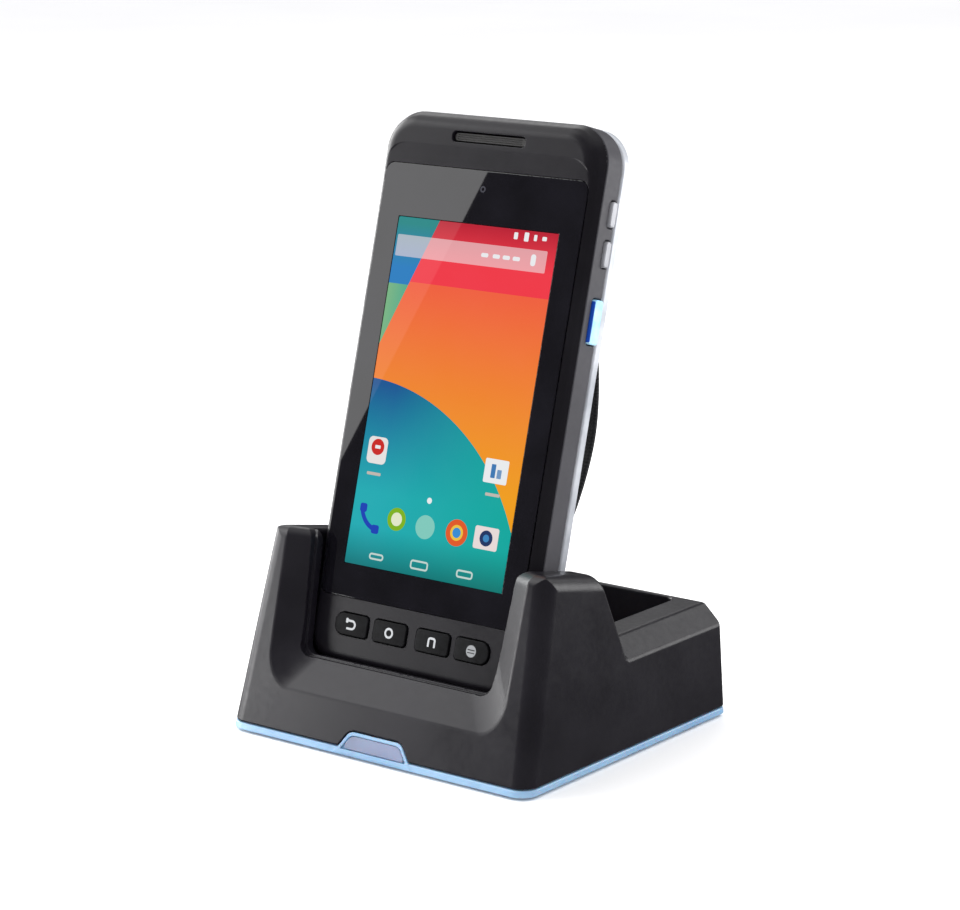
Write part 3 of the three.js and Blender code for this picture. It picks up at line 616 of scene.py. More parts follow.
def key_cap(name):
    """Satin black keys with pale printed marks: back, home, menu and web."""
    picture = Picture(name, Roughness=0.5, Specular_IOR_Level=0.12)
    picture.tone = picture.drift(picture.noise(picture.flat, 0.5), (10, 10, 12), (17, 17, 20))
    pale = (176, 178, 180)
    back, home, menu, web = (KEY_PLACES[key] for key in FRONT_KEYS)
    bend = back[0] + 0.4
    turn = picture.ring(bend, back[1], 0.85, 1.5)
    picture.paint(picture.overlap(turn, picture.right_of(bend, 0.0, 0.0)), pale)
    for rise in (-1.18, 1.18):
        picture.paint(picture.box(back[0] - 0.5, back[1] + rise, 1.0, 0.33, 0.1), pale)
    picture.paint(picture.box(back[0] - 1.5, back[1] + 1.15, 0.45, 0.72, 0.3), pale)
    picture.paint(picture.ring(*home, 0.95, 1.6), pale)
    arch = picture.frame(menu[0], menu[1] - 0.4, 1.45, 1.9, 1.0, 0.65)
    picture.paint(picture.overlap(arch, picture.above(menu[1] - 1.4)), pale)
    picture.paint(picture.disc(*web, 1.75), (140, 142, 144))
    for rise, grey in ((0.35, (40, 40, 42)), (-0.5, (60, 60, 62))):
        picture.paint(picture.box(web[0], web[1] + rise, 1.3, 0.16, 0.1), grey)
    picture.set(Base_Color=picture.tone)
    picture.bump(picture.noise(picture.place(), 2.4), 0.01, 0.3)
    return picture.material


def trigger_plastic(name):
    """Pale blue trigger; its edge towards the screen is painted a deeper blue, as painted shade."""
    shader = Shader(name, Roughness=0.3)
    where = shader.place()
    depth = shader.node("ShaderNodeSeparateXYZ", Vector=where).outputs[2]
    # painted shade: the side towards the screen is given a deep blue colour in place of the shade it falls
    # in
    edge = shader.math("GREATER_THAN", depth, span("scan_trigger")[1][2] - 0.12)
    cloud = shader.noise(where, 0.3)
    face = shader.drift(cloud, (158, 214, 248), (192, 234, 253))
    shader.set(Base_Color=shader.mix(edge, face, (24, 74, 178)))
    shader.bump(cloud, 0.01, 0.3)
    return shader.material


# ---- cradle

LEAN_SIN, LEAN_COS = SCREEN.col[1][1], SCREEN.col[1][2]
STRIP_LOW, STRIP_HIGH = box_mm("light_strip")
FOOT_Y = STRIP_LOW[1] - STRIP_LOW[2] * LEAN_SIN / LEAN_COS  # the front face's foot, at the ground
BACK_Y = STRIP_HIGH[1]
SIDE_HALF = 55.7  # half width at the ground
SIDE_DRAFT = 0.07  # how far the sides lean in for each millimetre up
STRIP_TOP = 2.8
STRIP_WIDTH = 4.0
HOUSING_FOOT = 3.1
EAR_TOP = 63.3  # up the slope, at the front face
EAR_CLIMB = 0.06  # how far the ears' tops rise for each millimetre towards the back
EAR_REAR_Y = -0.8  # the ears' back face, where it meets the deck
EAR_REAR_RUN, EAR_REAR_RISE = 8.1, 19.78
BETWEEN_EARS = 40.4  # half the gap between them
DECK_TOP = 34.4
DECK_CHAMFER_AT = (53.7, 28.6)  # x and z of a point on it
DECK_CHAMFER_RUN, DECK_CHAMFER_RISE = 6.2, 5.8
MOUTH_HALF, MOUTH_FOOT = 43.2, 16.4  # the bevelled way in, at the front face
MOUTH_FLARE = 0.024  # how far its sides lean out for each millimetre up
MOUTH_SIDE_SLANT, MOUTH_FOOT_SLANT = 1.9, 2.6  # how far the bevels come in for each millimetre of depth
MOUTH_DEPTH = 4.2
LIP_HALF, LIP_FOOT = 35.2, 26.4  # the ledge inside the bevel
LIP_FLARE, LIP_FLARE_FROM = 0.074, 26.8
LIP_DEPTH = 5.3
LIP_STEP = 0.9
POCKET_FRONT, POCKET_BACK = -8.3, -28.6  # depth behind the front face
POCKET_FOOT = 24.2
WELL = ((-38, -6.8), (38, 48.7))  # the spare battery's, in x and y
WELL_FLOOR = 14.5
CAVITY = ((-51, -44, 0), (51, 48, 11.6))
CAVITY_WALL = 7.0
TAB_HALF, TAB_FOOT, TAB_TOP = 14.3, 1.4, 8.1
TAB_TAPER = 0.716  # how far its sides lean in for each millimetre up
TAB_DEPTH = 1.5
TAB_GAP = 0.25
LENS_MARGIN, LENS_FOOT = 1.0, 2.7
LENS_GAP = 0.12


def slant(across, up, run, rise):
    """Distance to a plane that goes back by a run as it climbs by a rise."""
    return (across * rise + up * run) / math.hypot(run, rise)


def up_the_slope(y, z):
    """Distance up the cradle's front face, and out of it."""
    rise = (y - FOOT_Y) * LEAN_SIN + z * LEAN_COS
    out = z * LEAN_SIN - (y - FOOT_Y) * LEAN_COS
    return rise, out


def cradle_walls(x, y, z):
    """Distance to the four outer walls, and to the two sides alone."""
    out = up_the_slope(y, z)[1]
    sides = (np.abs(x) - (SIDE_HALF - SIDE_DRAFT * z)) / math.hypot(1, SIDE_DRAFT)
    return np.maximum(both(5.5, sides, out), both(2.0, sides, y - BACK_Y)), sides


def tab_outline(x, rise, spread):
    """Distance to the indicator tab's sides and top, moved out by a spread."""
    half = TAB_HALF - TAB_TAPER * (rise - TAB_FOOT)
    sides = (np.abs(x) - half) / math.hypot(1, TAB_TAPER) - spread
    return both(1.2, sides, rise - TAB_TOP - spread)


def mouth_cut(x, rise, out):
    """The open front: a bevelled way in, then a narrow ledge, then the pocket."""
    across = np.abs(x)
    side_bevel = across - MOUTH_HALF - MOUTH_FLARE * (rise - MOUTH_FOOT) - MOUTH_SIDE_SLANT * out
    side_bevel = side_bevel / math.hypot(1, MOUTH_SIDE_SLANT)
    foot_bevel = (MOUTH_FOOT - MOUTH_FOOT_SLANT * out - rise) / math.hypot(1, MOUTH_FOOT_SLANT)
    bevel = np.maximum(both(3.8, side_bevel, foot_bevel), -MOUTH_DEPTH - out)
    lip_side = across - LIP_HALF - LIP_FLARE * (rise - LIP_FLARE_FROM)
    ledge = np.maximum(both(3.5, lip_side, LIP_FOOT - rise), -LIP_DEPTH - out)
    narrow = both(3.0, lip_side + LIP_STEP, LIP_FOOT + LIP_STEP - rise)
    narrow = np.maximum(narrow, POCKET_FRONT - 1.0 - out)
    return np.minimum(np.minimum(bevel, ledge), narrow)


def rear_openings(point):
    """Room for the power and data sockets in the rear wall."""
    fields = []
    for name in ("power_inlet", "data_port"):
        low, high = box_mm(name)
        low, high = low - 0.3, high + 0.3
        high[1] += 5
        turned = (point[0], point[2], point[1])
        fields.append(box_field(turned, low[[0, 2, 1]], high[[0, 2, 1]], 1.2))
    return np.minimum(*fields)


def crown_field(x, y, z, walls, sides, ear_top):
    """Everything under the tops of the two ears and of the deck behind them."""
    out = up_the_slope(y, z)[1]
    across = np.abs(x)
    ear_rear = slant(y - EAR_REAR_Y, z - DECK_TOP, EAR_REAR_RUN, EAR_REAR_RISE)
    ear = both(1.6, both(4.5, ear_top, sides), ear_rear)
    ear = without(1.5, ear, np.maximum(across - BETWEEN_EARS, out - POCKET_FRONT))
    chamfer = slant(
        across - DECK_CHAMFER_AT[0], z - DECK_CHAMFER_AT[1], DECK_CHAMFER_RUN, DECK_CHAMFER_RISE)
    deck = both(1.2, y - BACK_Y, both(0.6, z - DECK_TOP, chamfer))
    return either(0.8, ear, both(0.5, walls, deck))


def housing_field(x, y, z):
    rise, out = up_the_slope(y, z)
    walls, sides = cradle_walls(x, y, z)
    ear_top = rise - EAR_TOP + EAR_CLIMB * out
    body = np.maximum(walls, crown_field(x, y, z, walls, sides, ear_top))
    body = np.maximum(body, both(3.6, out, ear_top))
    body = both(0.5, body, HOUSING_FOOT - z)
    mouth = mouth_cut(x, rise, out)
    body = np.maximum(body, both(4.0, ear_top, -mouth))
    body = without(0.4, body, mouth)
    pocket = both(10.6, np.abs(x) - BETWEEN_EARS, POCKET_FOOT - rise)
    body = without(0.6, body, np.maximum(pocket, between(out, POCKET_BACK, POCKET_FRONT)))
    body = without(0.7, body, np.maximum(rectangle(x, y, *WELL, 3.0), WELL_FLOOR - z))
    tab_seat = np.maximum(tab_outline(x, rise, TAB_GAP), -TAB_DEPTH - 0.2 - out)
    body = without(0.2, body, tab_seat)
    cavity = np.maximum(box_field((x, y, z), *CAVITY, 2.0), -CAVITY_WALL - out)
    body = np.maximum(body, -cavity)
    for name in ("dock_pin_carrier", "well_contacts"):
        low, high = box_mm(name)
        body = np.maximum(body, -box_field((x, y, z), low - 0.3, high + 0.3))
    return without(0.3, body, rear_openings((x, y, z)))


def strip_field(x, y, z):
    rise, out = up_the_slope(y, z)
    walls = cradle_walls(x, y, z)[0]
    ring = np.maximum(walls, -STRIP_WIDTH - walls)
    ring = both(0.4, ring, between(z, STRIP_LOW[2], STRIP_TOP))
    tab = np.maximum(TAB_FOOT - rise, between(out, -TAB_DEPTH, 0.0))
    whole = either(0.3, ring, np.maximum(tab_outline(x, rise, 0.0), tab))
    lens_seat = np.maximum(tab_outline(x, rise, -LENS_MARGIN), LENS_FOOT - rise)
    return without(0.2, whole, np.maximum(lens_seat, -0.9 - out))


def lens_field(x, y, z):
    rise, out = up_the_slope(y, z)
    face = np.maximum(tab_outline(x, rise, -LENS_MARGIN - LENS_GAP), LENS_FOOT + LENS_GAP - rise)
    return both(0.25, face, between(out, -0.8, -0.25))


def make_cradle(looks):
    """Each row has the name, field, node, grid step, share of triangles kept, slot and look."""
    for name, field, node, step, keep, slot, look in (
        ("cradle_shell", housing_field, "cradle_housing", 0.5, 0.16, "charcoal_plastic", "charcoal"),
        ("light_ring", strip_field, "light_strip", 0.4, 0.3, "blue_light", "blue_light"),
        ("indicator_window", lens_field, "indicator_lens", 0.3, 0.4, "blue_light", "lens"),
    ):
        obj = carve(name, field, *box_mm(node), step, keep)
        finish_piece(obj, "cradle", looks[look], [node])


# ---- terminal

BODY_LOW, BODY_HIGH = span("mid_frame")
BODY_HALF = 39.8
TOP_RADIUS, BOTTOM_RADIUS = 12.0, 10.0
WALL = 2.4
FRONT_DEPTH = 3.6  # from the glass to where the front meets the side band
FRONT_BEVEL_RUN, FRONT_BEVEL_RISE = 2.2, 3.9
BAND_BACK, BAND_FRONT = -11.2, -3.9
TRIM_PROUD = 0.15
BACK_INSET = 0.7
BACK_WALL, BACK_FLOOR = 3.0, -15.9
DISPLAY_HALF = span("display_panel")[1][:2]
CAMERA_PLACE = tuple((span("front_camera")[0][:2] + span("front_camera")[1][:2]) / 2)
GLASS_CORNER = 3.0
GLASS_GAP = 0.06
GLASS_SEAT = -1.35
BROW_CONTOUR = ((-37.7, -90.0), (37.7, 73.8))  # outline of the recess round the glass
BROW_SLOPE = 0.175  # the recess's floor climbs by this for each millimetre above the glass
BEZEL_RISE, BROW_RISE = 0.3, 0.8
BROW_START, BROW_END = 58.0, 75.0
FRONT_KEYS = ("back_key", "home_key", "menu_key", "web_key")
KEY_HALF = np.array((6.1, 3.25))
KEY_CORNER, ROW_END_CORNER = 1.2, 3.0
KEY_BACK, KEY_PROUD = -4.4, 0.8
KEY_DOME = 0.005  # drop for each square millimetre from the middle
KEY_PLACES = {name: (span(name)[0][:2] + span(name)[1][:2]) / 2 for name in FRONT_KEYS}
SIDE_KEYS = {  # low and high v, low and high n, and how far it stands out
    "upper_side_button": (56.0, 63.4, -10.8, -8.1, 0.8),
    "lower_side_button": (44.4, 52.0, -10.8, -8.1, 0.8),
    "scan_trigger": (22.2, 35.1, -11.0, -6.9, 1.1),
}
SIDE_KEY_DEPTH = 3.0
BACK_SCREWS = ((-33, 76), (33, 76), (-33, -73), (33, -73))
SCREW_HOLE = 2.1
SOUND_SLOTS, SOUND_PITCH = 5, 2.0
SOUND_LOW = (14, 64.0)  # the lowest slot's lower left corner
SOUND_LENGTH = 14
DOOR_BACK, DOOR_FRONT = -16.8, -15.4
CATCH_APART, CATCH_HALF = 17, 4.5
GRIP_RIBS, GRIP_PITCH, GRIP_HALF = 4, 1.8, 8


def outline(u, v):
    radius = np.where(v > 0, TOP_RADIUS, BOTTOM_RADIUS)
    return rectangle(u, v, (-BODY_HALF, BODY_LOW[1]), (BODY_HALF, BODY_HIGH[1]), radius)


def node_outline(name, u, v, radius, gap=0.0):
    """Distance to the rectangle round a terminal node, widened by a gap."""
    low, high = span(name)
    return rectangle(u, v, low[:2] - gap, high[:2] + gap, radius)


def smooth_step(value, start, end):
    share = np.clip((value - start) / (end - start), 0, 1)
    return share * share * (3 - 2 * share)


def key_outline(name, u, v, spread=0.0):
    """Keys have small corners, but the row's two ends are rounder."""
    place = KEY_PLACES[name]
    side = np.sign(place[0]) if name in (FRONT_KEYS[0], FRONT_KEYS[-1]) else 0
    radius = np.where((u - place[0]) * side > 0, ROW_END_CORNER, KEY_CORNER)
    return rectangle(u, v, place - KEY_HALF, place + KEY_HALF, radius) - spread


def front_field(u, v, n):
    edge = outline(u, v)
    bevel = slant(edge, n + FRONT_DEPTH, FRONT_BEVEL_RUN, FRONT_BEVEL_RISE)
    height = BEZEL_RISE + BROW_RISE * smooth_step(v, BROW_START, BROW_END)
    body = both(2.4, bevel, n - height)
    body = np.maximum(body, edge)
    body = np.maximum(body, -FRONT_DEPTH - n)
    above_glass = np.maximum(v - span("touch_glass")[1][1], 0)
    floor = (GLASS_GAP + above_glass * BROW_SLOPE - n) / math.hypot(1, BROW_SLOPE)
    body = without(0.3, body, both(0.3, rectangle(u, v, *BROW_CONTOUR, 8.0), floor))
    glass = node_outline("touch_glass", u, v, GLASS_CORNER + GLASS_GAP, GLASS_GAP)
    body = without(0.08, body, np.maximum(glass, GLASS_SEAT - n))
    body = np.maximum(body, -node_outline("display_panel", u, v, 0.5, 0.6))
    for name in FRONT_KEYS:
        body = without(0.2, body, key_outline(name, u, v, 0.2))
    return without(0.3, body, node_outline("earpiece_grille", u, v, 1.3, 0.3))


def earpiece_field(u, v, n):
    low, high = span("earpiece_grille")
    plate = both(0.2, node_outline("earpiece_grille", u, v, 1.1), between(n, -2.0, 0.25))
    pitch, half = 0.62, 0.14
    for row in range(3):
        centre = low[1] + pitch * (row + 1)
        slot = rectangle(u, v, (low[0] + 1.2, centre - half), (high[0] - 1.2, centre + half), half)
        plate = without(0.05, plate, np.maximum(slot, 0.02 - n))
    return plate


def glass_field(u, v, n):
    face = node_outline("touch_glass", u, v, GLASS_CORNER)
    slab = both(0.12, face, between(n, span("touch_glass")[0][2], 0.0))
    return np.maximum(slab, -node_outline("display_panel", u, v, 0.02))


def window_field(u, v, n):
    """The part of the glass over the lit display, down to the display's back."""
    face = node_outline("display_panel", u, v, 0.02)
    return np.maximum(face, between(n, span("display_panel")[0][2], 0.0))


def key_field(name):
    u0, v0 = KEY_PLACES[name]

    def field(u, v, n):
        dome = KEY_PROUD - KEY_DOME * ((u - u0) ** 2 + (v - v0) ** 2)
        return both(0.3, key_outline(name, u, v), between(n, KEY_BACK, dome))

    return field


def side_key_field(name):
    low_v, high_v, low_n, high_n, proud = SIDE_KEYS[name]

    def field(u, v, n):
        face = both(1.0, between(v, low_v, high_v), between(n, low_n, high_n))
        return both(0.45, face, between(u, BODY_HALF - SIDE_KEY_DEPTH, BODY_HALF + proud))

    return field


def band_field(u, v, n):
    edge = outline(u, v)
    gap = 0.3
    ring = both(0.35, np.maximum(edge, -WALL - edge), between(n, BAND_BACK, BAND_FRONT))
    for low_v, high_v, low_n, high_n, _ in SIDE_KEYS.values():
        along = between(v, low_v - 0.35, high_v + 0.35)
        hole = both(1.2, along, between(n, low_n - gap, high_n + gap))
        ring = without(0.3, ring, np.maximum(hole, BODY_HALF - 5 - u))
    for name in ("scan_window", "dock_contacts"):
        low, high = span(name)
        low, high = low - gap, high + gap
        face = both(0.8, between(u, low[0], high[0]), between(n, low[2], high[2]))
        through = between(v, low[1] - 3, high[1] + 3)
        ring = without(0.3, ring, np.maximum(face, through))
    return ring


def trim_field(u, v, n):
    edge = outline(u, v)
    low, high = span("trim_band")
    return both(0.8, np.maximum(edge - TRIM_PROUD, -WALL - edge), between(n, low[2], high[2]))


def back_field(u, v, n):
    edge = outline(u, v)
    low, high = span("back_cover")
    body = both(2.4, edge + BACK_INSET, low[2] - n)
    body = both(0.3, body, n - high[2])
    body = np.maximum(body, -np.maximum(edge + BACK_WALL, BACK_FLOOR - n))
    body = without(0.4, body, node_outline("battery_door", u, v, 3.2, 0.3))
    low, high = span("camera_window")
    middle = (low + high) / 2
    window = np.hypot(u - middle[0], v - middle[1]) - (high[0] - low[0]) / 2 - 0.25
    body = without(0.3, body, window)
    for across, up in BACK_SCREWS:
        body = without(0.25, body, np.hypot(u - across, v - up) - SCREW_HOLE)
    left, lowest = SOUND_LOW
    for row in range(SOUND_SLOTS):
        foot = lowest + row * SOUND_PITCH
        slot = rectangle(u, v, (left, foot), (left + SOUND_LENGTH, foot + 1.0), 0.5)
        body = without(0.25, body, slot)
    return body


def door_field(u, v, n):
    low, high = span("battery_door")
    lid = both(0.5, node_outline("battery_door", u, v, 3.0), between(n, DOOR_BACK, DOOR_FRONT))
    for middle in (-CATCH_APART, CATCH_APART):
        corners = (middle - CATCH_HALF, high[1] - 7.5), (middle + CATCH_HALF, high[1] - 4.5)
        lid = without(0.3, lid, np.maximum(rectangle(u, v, *corners, 1.4), n - DOOR_BACK - 0.6))
    for row in range(GRIP_RIBS):
        foot = low[1] + 4 + row * GRIP_PITCH
        groove = rectangle(u, v, (-GRIP_HALF, foot), (GRIP_HALF, foot + 0.8), 0.4)
        lid = without(0.2, lid, np.maximum(groove, n - DOOR_BACK - 0.35))
    return lid


STRAP_HALF = 22.0
STRAP_THICKNESS = 1.6
ANCHOR_SLOT = (-20.4, -18.0)  # n


def anchor_field(name):
    low, high = span(name)

    def field(u, v, n):
        face = both(1.6, between(u, low[0], high[0]), between(v, low[1], high[1]))
        body = both(1.2, face, between(n, low[2], high[2]))
        half = STRAP_HALF + 0.6
        return without(0.4, body, both(0.6, between(u, -half, half), between(n, *ANCHOR_SLOT)))

    return field


# Route of the strap's middle, (v, n) in millimetres, as its solid runs.
STRAP_ROUTE = (
    (55, -19.2), (49, -19.2), (44.5, -20.4), (39.5, -25), (33, -32), (18, -40.6), (-4, -45),
    (-27, -40.6), (-40.5, -32), (-46.5, -25), (-50.8, -20.4), (-55, -19.2), (-60.5, -19.2),
)


def along_route(count):
    """Points and directions on the uniform Catmull-Rom curve through the route."""
    knots = np.array(STRAP_ROUTE, float)
    knots = np.vstack([knots[:1], knots, knots[-1:]])
    places, directions = [], []
    for step in np.linspace(0, len(STRAP_ROUTE) - 1 - 1e-6, count):
        index, t = int(step), step - int(step)
        a, b, c, d = knots[index:index + 4]
        start, end = (c - a) / 2, (d - b) / 2
        square = 3 * (c - b) - 2 * start - end
        cube = 2 * (b - c) + start + end
        places.append(b + start * t + square * t**2 + cube * t**3)
        directions.append(start + 2 * square * t + 3 * cube * t**2)
    places, directions = np.array(places), np.array(directions)
    return places, directions / np.linalg.norm(directions, axis=1, keepdims=True)


def sweep(name, places, directions, section):
    """A closed tube: a section of (across, out) carried along (v, n) places."""
    normals = np.stack([directions[:, 1], -directions[:, 0]], 1)
    count = len(section)
    rings = []
    for place, normal in zip(places, normals):
        rings.append(np.column_stack([section[:, 0], place + normal * section[:, 1:2]]))
    vertices = np.concatenate(rings)
    faces = []
    for ring in range(len(places) - 1):
        for side in range(count):
            a = ring * count + side
            b = ring * count + (side + 1) % count
            faces.append((a, b, b + count, a + count))
    obj = make_object(name, vertices * MM, np.array(faces))
    lengths = np.concatenate([[0], np.cumsum(np.linalg.norm(np.diff(places, axis=0), axis=1))])
    layer = obj.data.uv_layers.new(name="run")
    corner = read(obj.data.loops, "vertex_index")
    runs = np.stack([vertices[corner, 0], lengths[corner // count]], 1)
    layer.data.foreach_set("uv", runs.ravel())
    return obj


def strap_section():
    """Flat webbing with rounded edges."""
    half = STRAP_THICKNESS / 2
    flat = np.linspace(-STRAP_HALF + half, STRAP_HALF - half, 15)
    upper = [(across, half) for across in flat]
    lower = [(across, -half) for across in flat[::-1]]
    turns = np.linspace(math.pi / 2, -math.pi / 2, 7)[1:-1]
    right = [(STRAP_HALF - half + half * math.cos(t), half * math.sin(t)) for t in turns]
    left = [(-across, -out) for across, out in right]
    return np.array(upper + right + lower + left)


def make_strap(looks):
    places, directions = along_route(120)
    strap = on_screen(sweep("webbing_strap", places, directions, strap_section()))
    strap.data.polygons.foreach_set("use_smooth", np.ones(len(strap.data.polygons), bool))
    strap.data.set_sharp_from_angle(angle=math.radians(60))
    finish_piece(strap, "terminal", looks["webbing"], ["hand_strap"])


def make_terminal(looks):
    """Carves the terminal's pieces, most of them from a row of this list.

    A row has the name, field, nodes, grid step, share of triangles kept, slot and look. The piece
    stands for the first node, and a second one only widens the range that is carved.
    """
    pieces = [
        ("front_shell", front_field, ["front_housing"], 0.35, 0.12, "charcoal_plastic", "front_plastic"),
        ("glass_border", glass_field, ["touch_glass"], 0.3, 0.12, "black_glass", "border_glass"),
        ("display_window", window_field, ["display_panel", "touch_glass"], 0.5, 0.12, "black_glass",
         "display_glass"),
        ("earpiece_mesh", earpiece_field, ["earpiece_grille"], 0.12, 0.3, "black_plastic", "earpiece"),
        ("side_band", band_field, ["mid_frame"], 0.35, 0.2, "grey_plastic", "side_plastic"),
        ("trim_ring", trim_field, ["trim_band"], 0.3, 0.2, "silver_trim", "silver"),
        ("back_shell", back_field, ["back_cover"], 0.35, 0.15, "charcoal_plastic", "back_plastic"),
        ("battery_lid", door_field, ["battery_door"], 0.35, 0.2, "charcoal_plastic", "back_plastic"),
    ]
    for end in ("upper", "lower"):
        node = f"{end}_strap_anchor"
        bar = (f"{end}_strap_bar", anchor_field(node), [node], 0.3, 0.25, "black_plastic", "black_plastic")
        pieces.append(bar)
    for name, field, nodes, step, keep, slot, look in pieces:
        spans = np.array([span(node) for node in nodes])
        obj = carve(name, field, spans[:, 0].min(0) - 0.3, spans[:, 1].max(0) + 0.3, step, keep)
        finish_piece(on_screen(obj), "terminal", looks[look], nodes[:1])
    for name in FRONT_KEYS:
        obj = carve(f"{name}_cap", key_field(name), *span(name), 0.22, 0.3)
        finish_piece(on_screen(obj), name, looks["key_cap"], [name])
    for name in SIDE_KEYS:
        look, slot = ("trigger", "blue_key") if name == "scan_trigger" else ("silver_key", "silver_trim")
        obj = carve(f"{name}_cap", side_key_field(name), *span(name), 0.2, 0.3)
        finish_piece(on_screen(obj), name, looks[look], [name])


# ---- carried-over CAD nodes

CARRIED = {  # look: how the names of the nodes that wear it begin
    "black_plastic": ("base_plate", "dock_pin_carrier", "power_inlet", "scan_engine", "speaker"),
    "rubber": ("rubber_foot",),
    "steel": ("base_screw", "back_screw", "data_port"),
    "board": ("cradle_board", "keypad_board", "main_board"),
    "gold": ("dock_pins", "well_contacts", "dock_contacts"),
    "lens_glass": ("front_camera", "scan_window", "rear_camera", "camera_window"),
    "battery": ("battery_pack",),
}
SOFT_EDGE = 0.15 * MM


def dress_cad_nodes(looks):
    for name, obj in NODES.items():
        if obj.hide_render:
            continue
        look = next(look for look, starts in CARRIED.items() if name.startswith(starts))
        obj.data.materials.clear()
        obj.data.materials.append(looks[look])
        bevel = obj.modifiers.new("edges", "BEVEL")
        bevel.width = SOFT_EDGE
        bevel.segments = 2
        bevel.limit_method = "ANGLE"
        bevel.angle_limit = math.radians(40)


# ---- stage

CAMERA_AT = Vector((0.52967, -0.69106, 0.28164))  # metres
CAMERA_AZIMUTH = math.radians(37.44)
CAMERA_ELEVATION = math.radians(12.88)
CAMERA_LENS, SENSOR_WIDTH = 113.32, 36  # millimetres


def make_camera():
    data = bpy.data.cameras.new("camera")
    data.lens = CAMERA_LENS
    data.sensor_width = SENSOR_WIDTH
    data.clip_start = 0.01
    camera = bpy.data.objects.new("camera", data)
    bpy.context.scene.collection.objects.link(camera)
    back = Vector((
        math.sin(CAMERA_AZIMUTH) * math.cos(CAMERA_ELEVATION),
        -math.cos(CAMERA_AZIMUTH) * math.cos(CAMERA_ELEVATION),
        math.sin(CAMERA_ELEVATION),
    ))
    camera.location = CAMERA_AT
    camera.rotation_mode = "QUATERNION"
    camera.rotation_quaternion = (-back).to_track_quat("-Z", "Y")
    bpy.context.scene.camera = camera


def softbox(name, place, target, size, radiance):
    """A rectangular light that faces its target; radiance 1 looks as bright as white paper."""
    data = bpy.data.lights.new(name, "AREA")
    data.shape = "RECTANGLE"
    data.size, data.size_y = size
    data.energy = radiance * math.pi * size[0] * size[1]
    light = bpy.data.objects.new(name, data)
    bpy.context.scene.collection.objects.link(light)
    light.rotation_mode = "QUATERNION"
    light.rotation_quaternion = (Vector(target) - Vector(place)).to_track_quat("-Z", "Y")
    light.location = place
    light.visible_camera = False
    return light


def mirrored(u, v, distance):
    """Where the glass at (u, v) reflects the camera's view to, that far away."""
    place = SCREEN @ Vector((u * MM, v * MM, 0))
    normal = SCREEN.col[2].to_3d()
    ray = (place - CAMERA_AT).normalized()
    return place + (ray - 2 * ray.dot(normal) * normal) * distance


REFLECTION_EDGE = ((1.0, 68.0), (-19.0, 20.0))  # on the glass, where the key light's edge shows
KEY_DISTANCE = 0.8  # metres
KEY_SIZE = (0.8, 1.1)
KEY_RADIANCE = 2.8


def key_light():
    """The big softbox in front on the left, set so that its edge crosses the glass."""
    top, low = (mirrored(u, v, KEY_DISTANCE) for u, v in REFLECTION_EDGE)
    middle = (top + low) / 2
    back = (middle - SCREEN.translation).normalized()
    up = (top - low).normalized()
    up = (up - up.dot(back) * back).normalized()
    side = up.cross(back)
    light = softbox("key_light", middle - side * KEY_SIZE[0] / 2, (0, 0, 0), KEY_SIZE, KEY_RADIANCE)
    light.rotation_quaternion = Matrix((side, up, back)).transposed().to_quaternion()


SOFTBOXES = {  # place, target and size in metres, and radiance
    "top_light": ((0.1, 0.2, 1.6), (0, 0, 0.08), (1.4, 1.4), 0.7),
    "upper_left_light": ((-0.85, -0.1, 1.2), (0, 0, 0.1), (0.8, 1.0), 1.5),
    "low_left_light": ((-0.33, -0.26, 0.045), (0, 0, 0.04), (0.2, 0.08), 5.5),
    "left_light": ((-1.3, 0.2, 0.35), (0, 0, 0.08), (0.8, 0.9), 6.0),
    "back_left_light": ((-0.75, 0.8, 0.9), (0, 0, 0.12), (0.9, 0.7), 1.9),
    "back_right_light": ((0.35, 1.2, 0.95), (0, 0, 0.08), (0.7, 0.6), 1.9),
    "low_right_light": ((0.34, 0.42, 0.14), (0.05, 0, 0.05), (0.4, 0.22), 3.6),
}
SEEN_BY_CAMERA, SEEN_BY_MATT, SEEN_BY_GLOSS = 1.0, 1.09, 0.1


def make_world():
    """A white room that stays dim in reflections, so that the softboxes shape the plastic."""
    world = bpy.data.worlds.new("studio")
    world.use_nodes = True
    bpy.context.scene.world = world
    nodes, links = world.node_tree.nodes, world.node_tree.links
    background = nodes["Background"]
    background.inputs[0].default_value = (0.98, 0.98, 1.0, 1)
    path = nodes.new("ShaderNodeLightPath")
    level = SEEN_BY_MATT
    for ray, strength in (("Is Glossy Ray", SEEN_BY_GLOSS), ("Is Camera Ray", SEEN_BY_CAMERA)):
        choose = nodes.new("ShaderNodeMix")
        links.new(path.outputs[ray], choose.inputs[0])
        if isinstance(level, float):
            choose.inputs[2].default_value = level
        else:
            links.new(level, choose.inputs[2])
        choose.inputs[3].default_value = strength
        level = choose.outputs[0]
    links.new(level, background.inputs[1])


def make_lights():
    key_light()
    for name, (place, target, size, radiance) in SOFTBOXES.items():
        softbox(name, place, target, size, radiance)
    make_world()
    bpy.context.scene.view_settings.view_transform = "Standard"


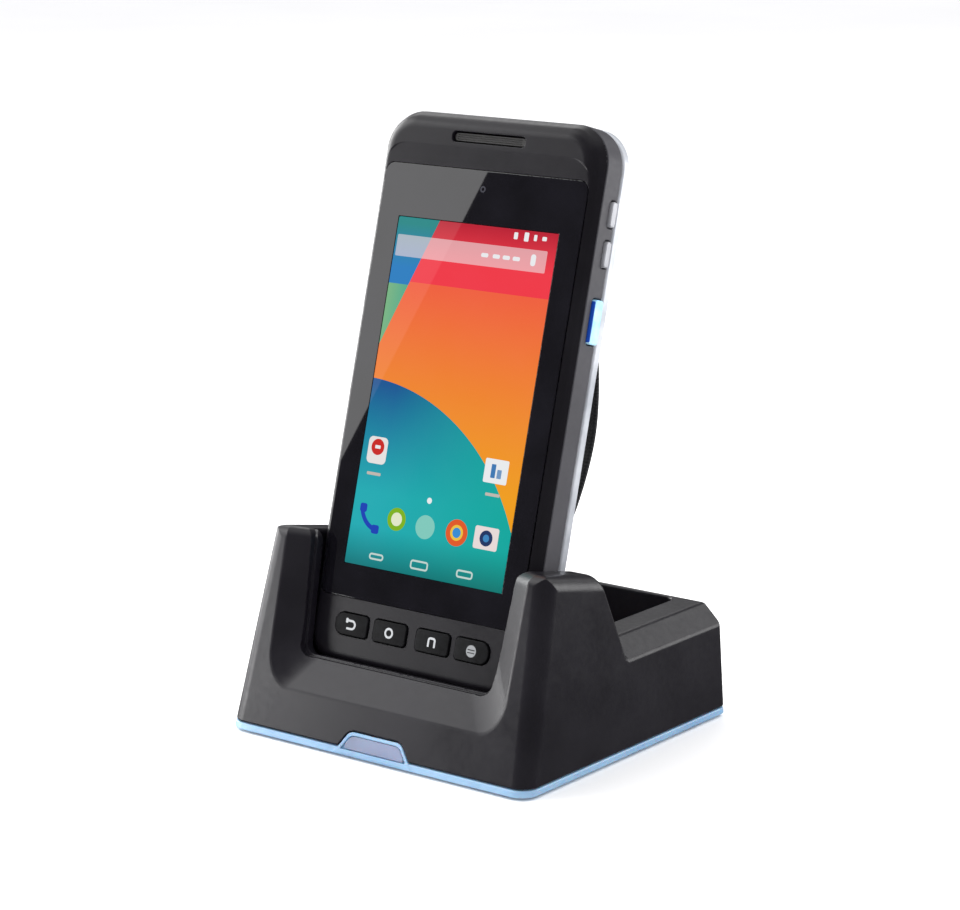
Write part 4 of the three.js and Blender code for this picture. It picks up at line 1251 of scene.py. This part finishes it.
def make_floor():
    """A pale floor at the cradle's feet, far wider than the view."""
    half = 8.0
    corners = np.array([(-half, -half, 0), (half, -half, 0), (half, half, 0), (-half, half, 0)])
    floor = make_object("floor", corners, np.array([(0, 1, 2, 3)]))
    shader = Shader("pale_floor", Roughness=0.7, Specular_IOR_Level=0.2)
    cloud = shader.noise(shader.place(), 0.004)
    shader.set(Base_Color=shader.drift(cloud, (251.6,) * 3, (253.9,) * 3))
    floor.data.materials.append(shader.material)
    floor.visible_glossy = False


# ---- build

LOOKS = {
    "charcoal": moulded_plastic("charcoal_plastic", (22, 20, 26), (31, 29, 36), 0.33, 0.4),
    "front_plastic": moulded_plastic("front_plastic", (19, 17, 22), (27, 25, 31), 0.34, 0.27),
    "back_plastic": moulded_plastic(
        "back_plastic", (23, 22, 26), (38, 37, 42), 0.46, 0.5, grain=0.3, depth=0.04),
    "side_plastic": moulded_plastic("side_plastic", (66, 65, 70), (78, 77, 83), 0.5, 0.4),
    "black_plastic": moulded_plastic("black_plastic", (18, 18, 20), (30, 30, 32), 0.5),
    "earpiece": moulded_plastic("earpiece_mesh", (34, 32, 32), (46, 44, 44), 0.5),
    "battery": moulded_plastic("battery_label", (34, 36, 40), (60, 64, 72), 0.35),
    "display_glass": display_glass("display_glass"),
    "border_glass": border_glass("border_glass"),
    "key_cap": key_cap("key_cap"),
    "trigger": trigger_plastic("trigger_plastic"),
    "silver": silver_paint("silver_trim", (184, 188, 195), (212, 215, 221)),
    "silver_key": silver_paint("silver_key", (152, 153, 158), (176, 177, 182)),
    "blue_light": lit_plastic("blue_light", (124, 158, 190), (140, 174, 202), 0.05),
    "lens": lit_plastic("indicator_window", (114, 122, 146), (130, 140, 168), 0.08),
    "webbing": woven_strap("webbing"),
    "rubber": plain_rubber("rubber"),
    "steel": metal("steel", (190, 190, 194), (120, 120, 124), 0.32),
    "gold": metal("gold", (226, 190, 110), (190, 150, 80), 0.28),
    "board": circuit_board("circuit_board"),
    "lens_glass": lens_glass("lens_glass"),
}

make_camera()
make_lights()
make_floor()
make_cradle(LOOKS)
make_terminal(LOOKS)
make_strap(LOOKS)
dress_cad_nodes(LOOKS)
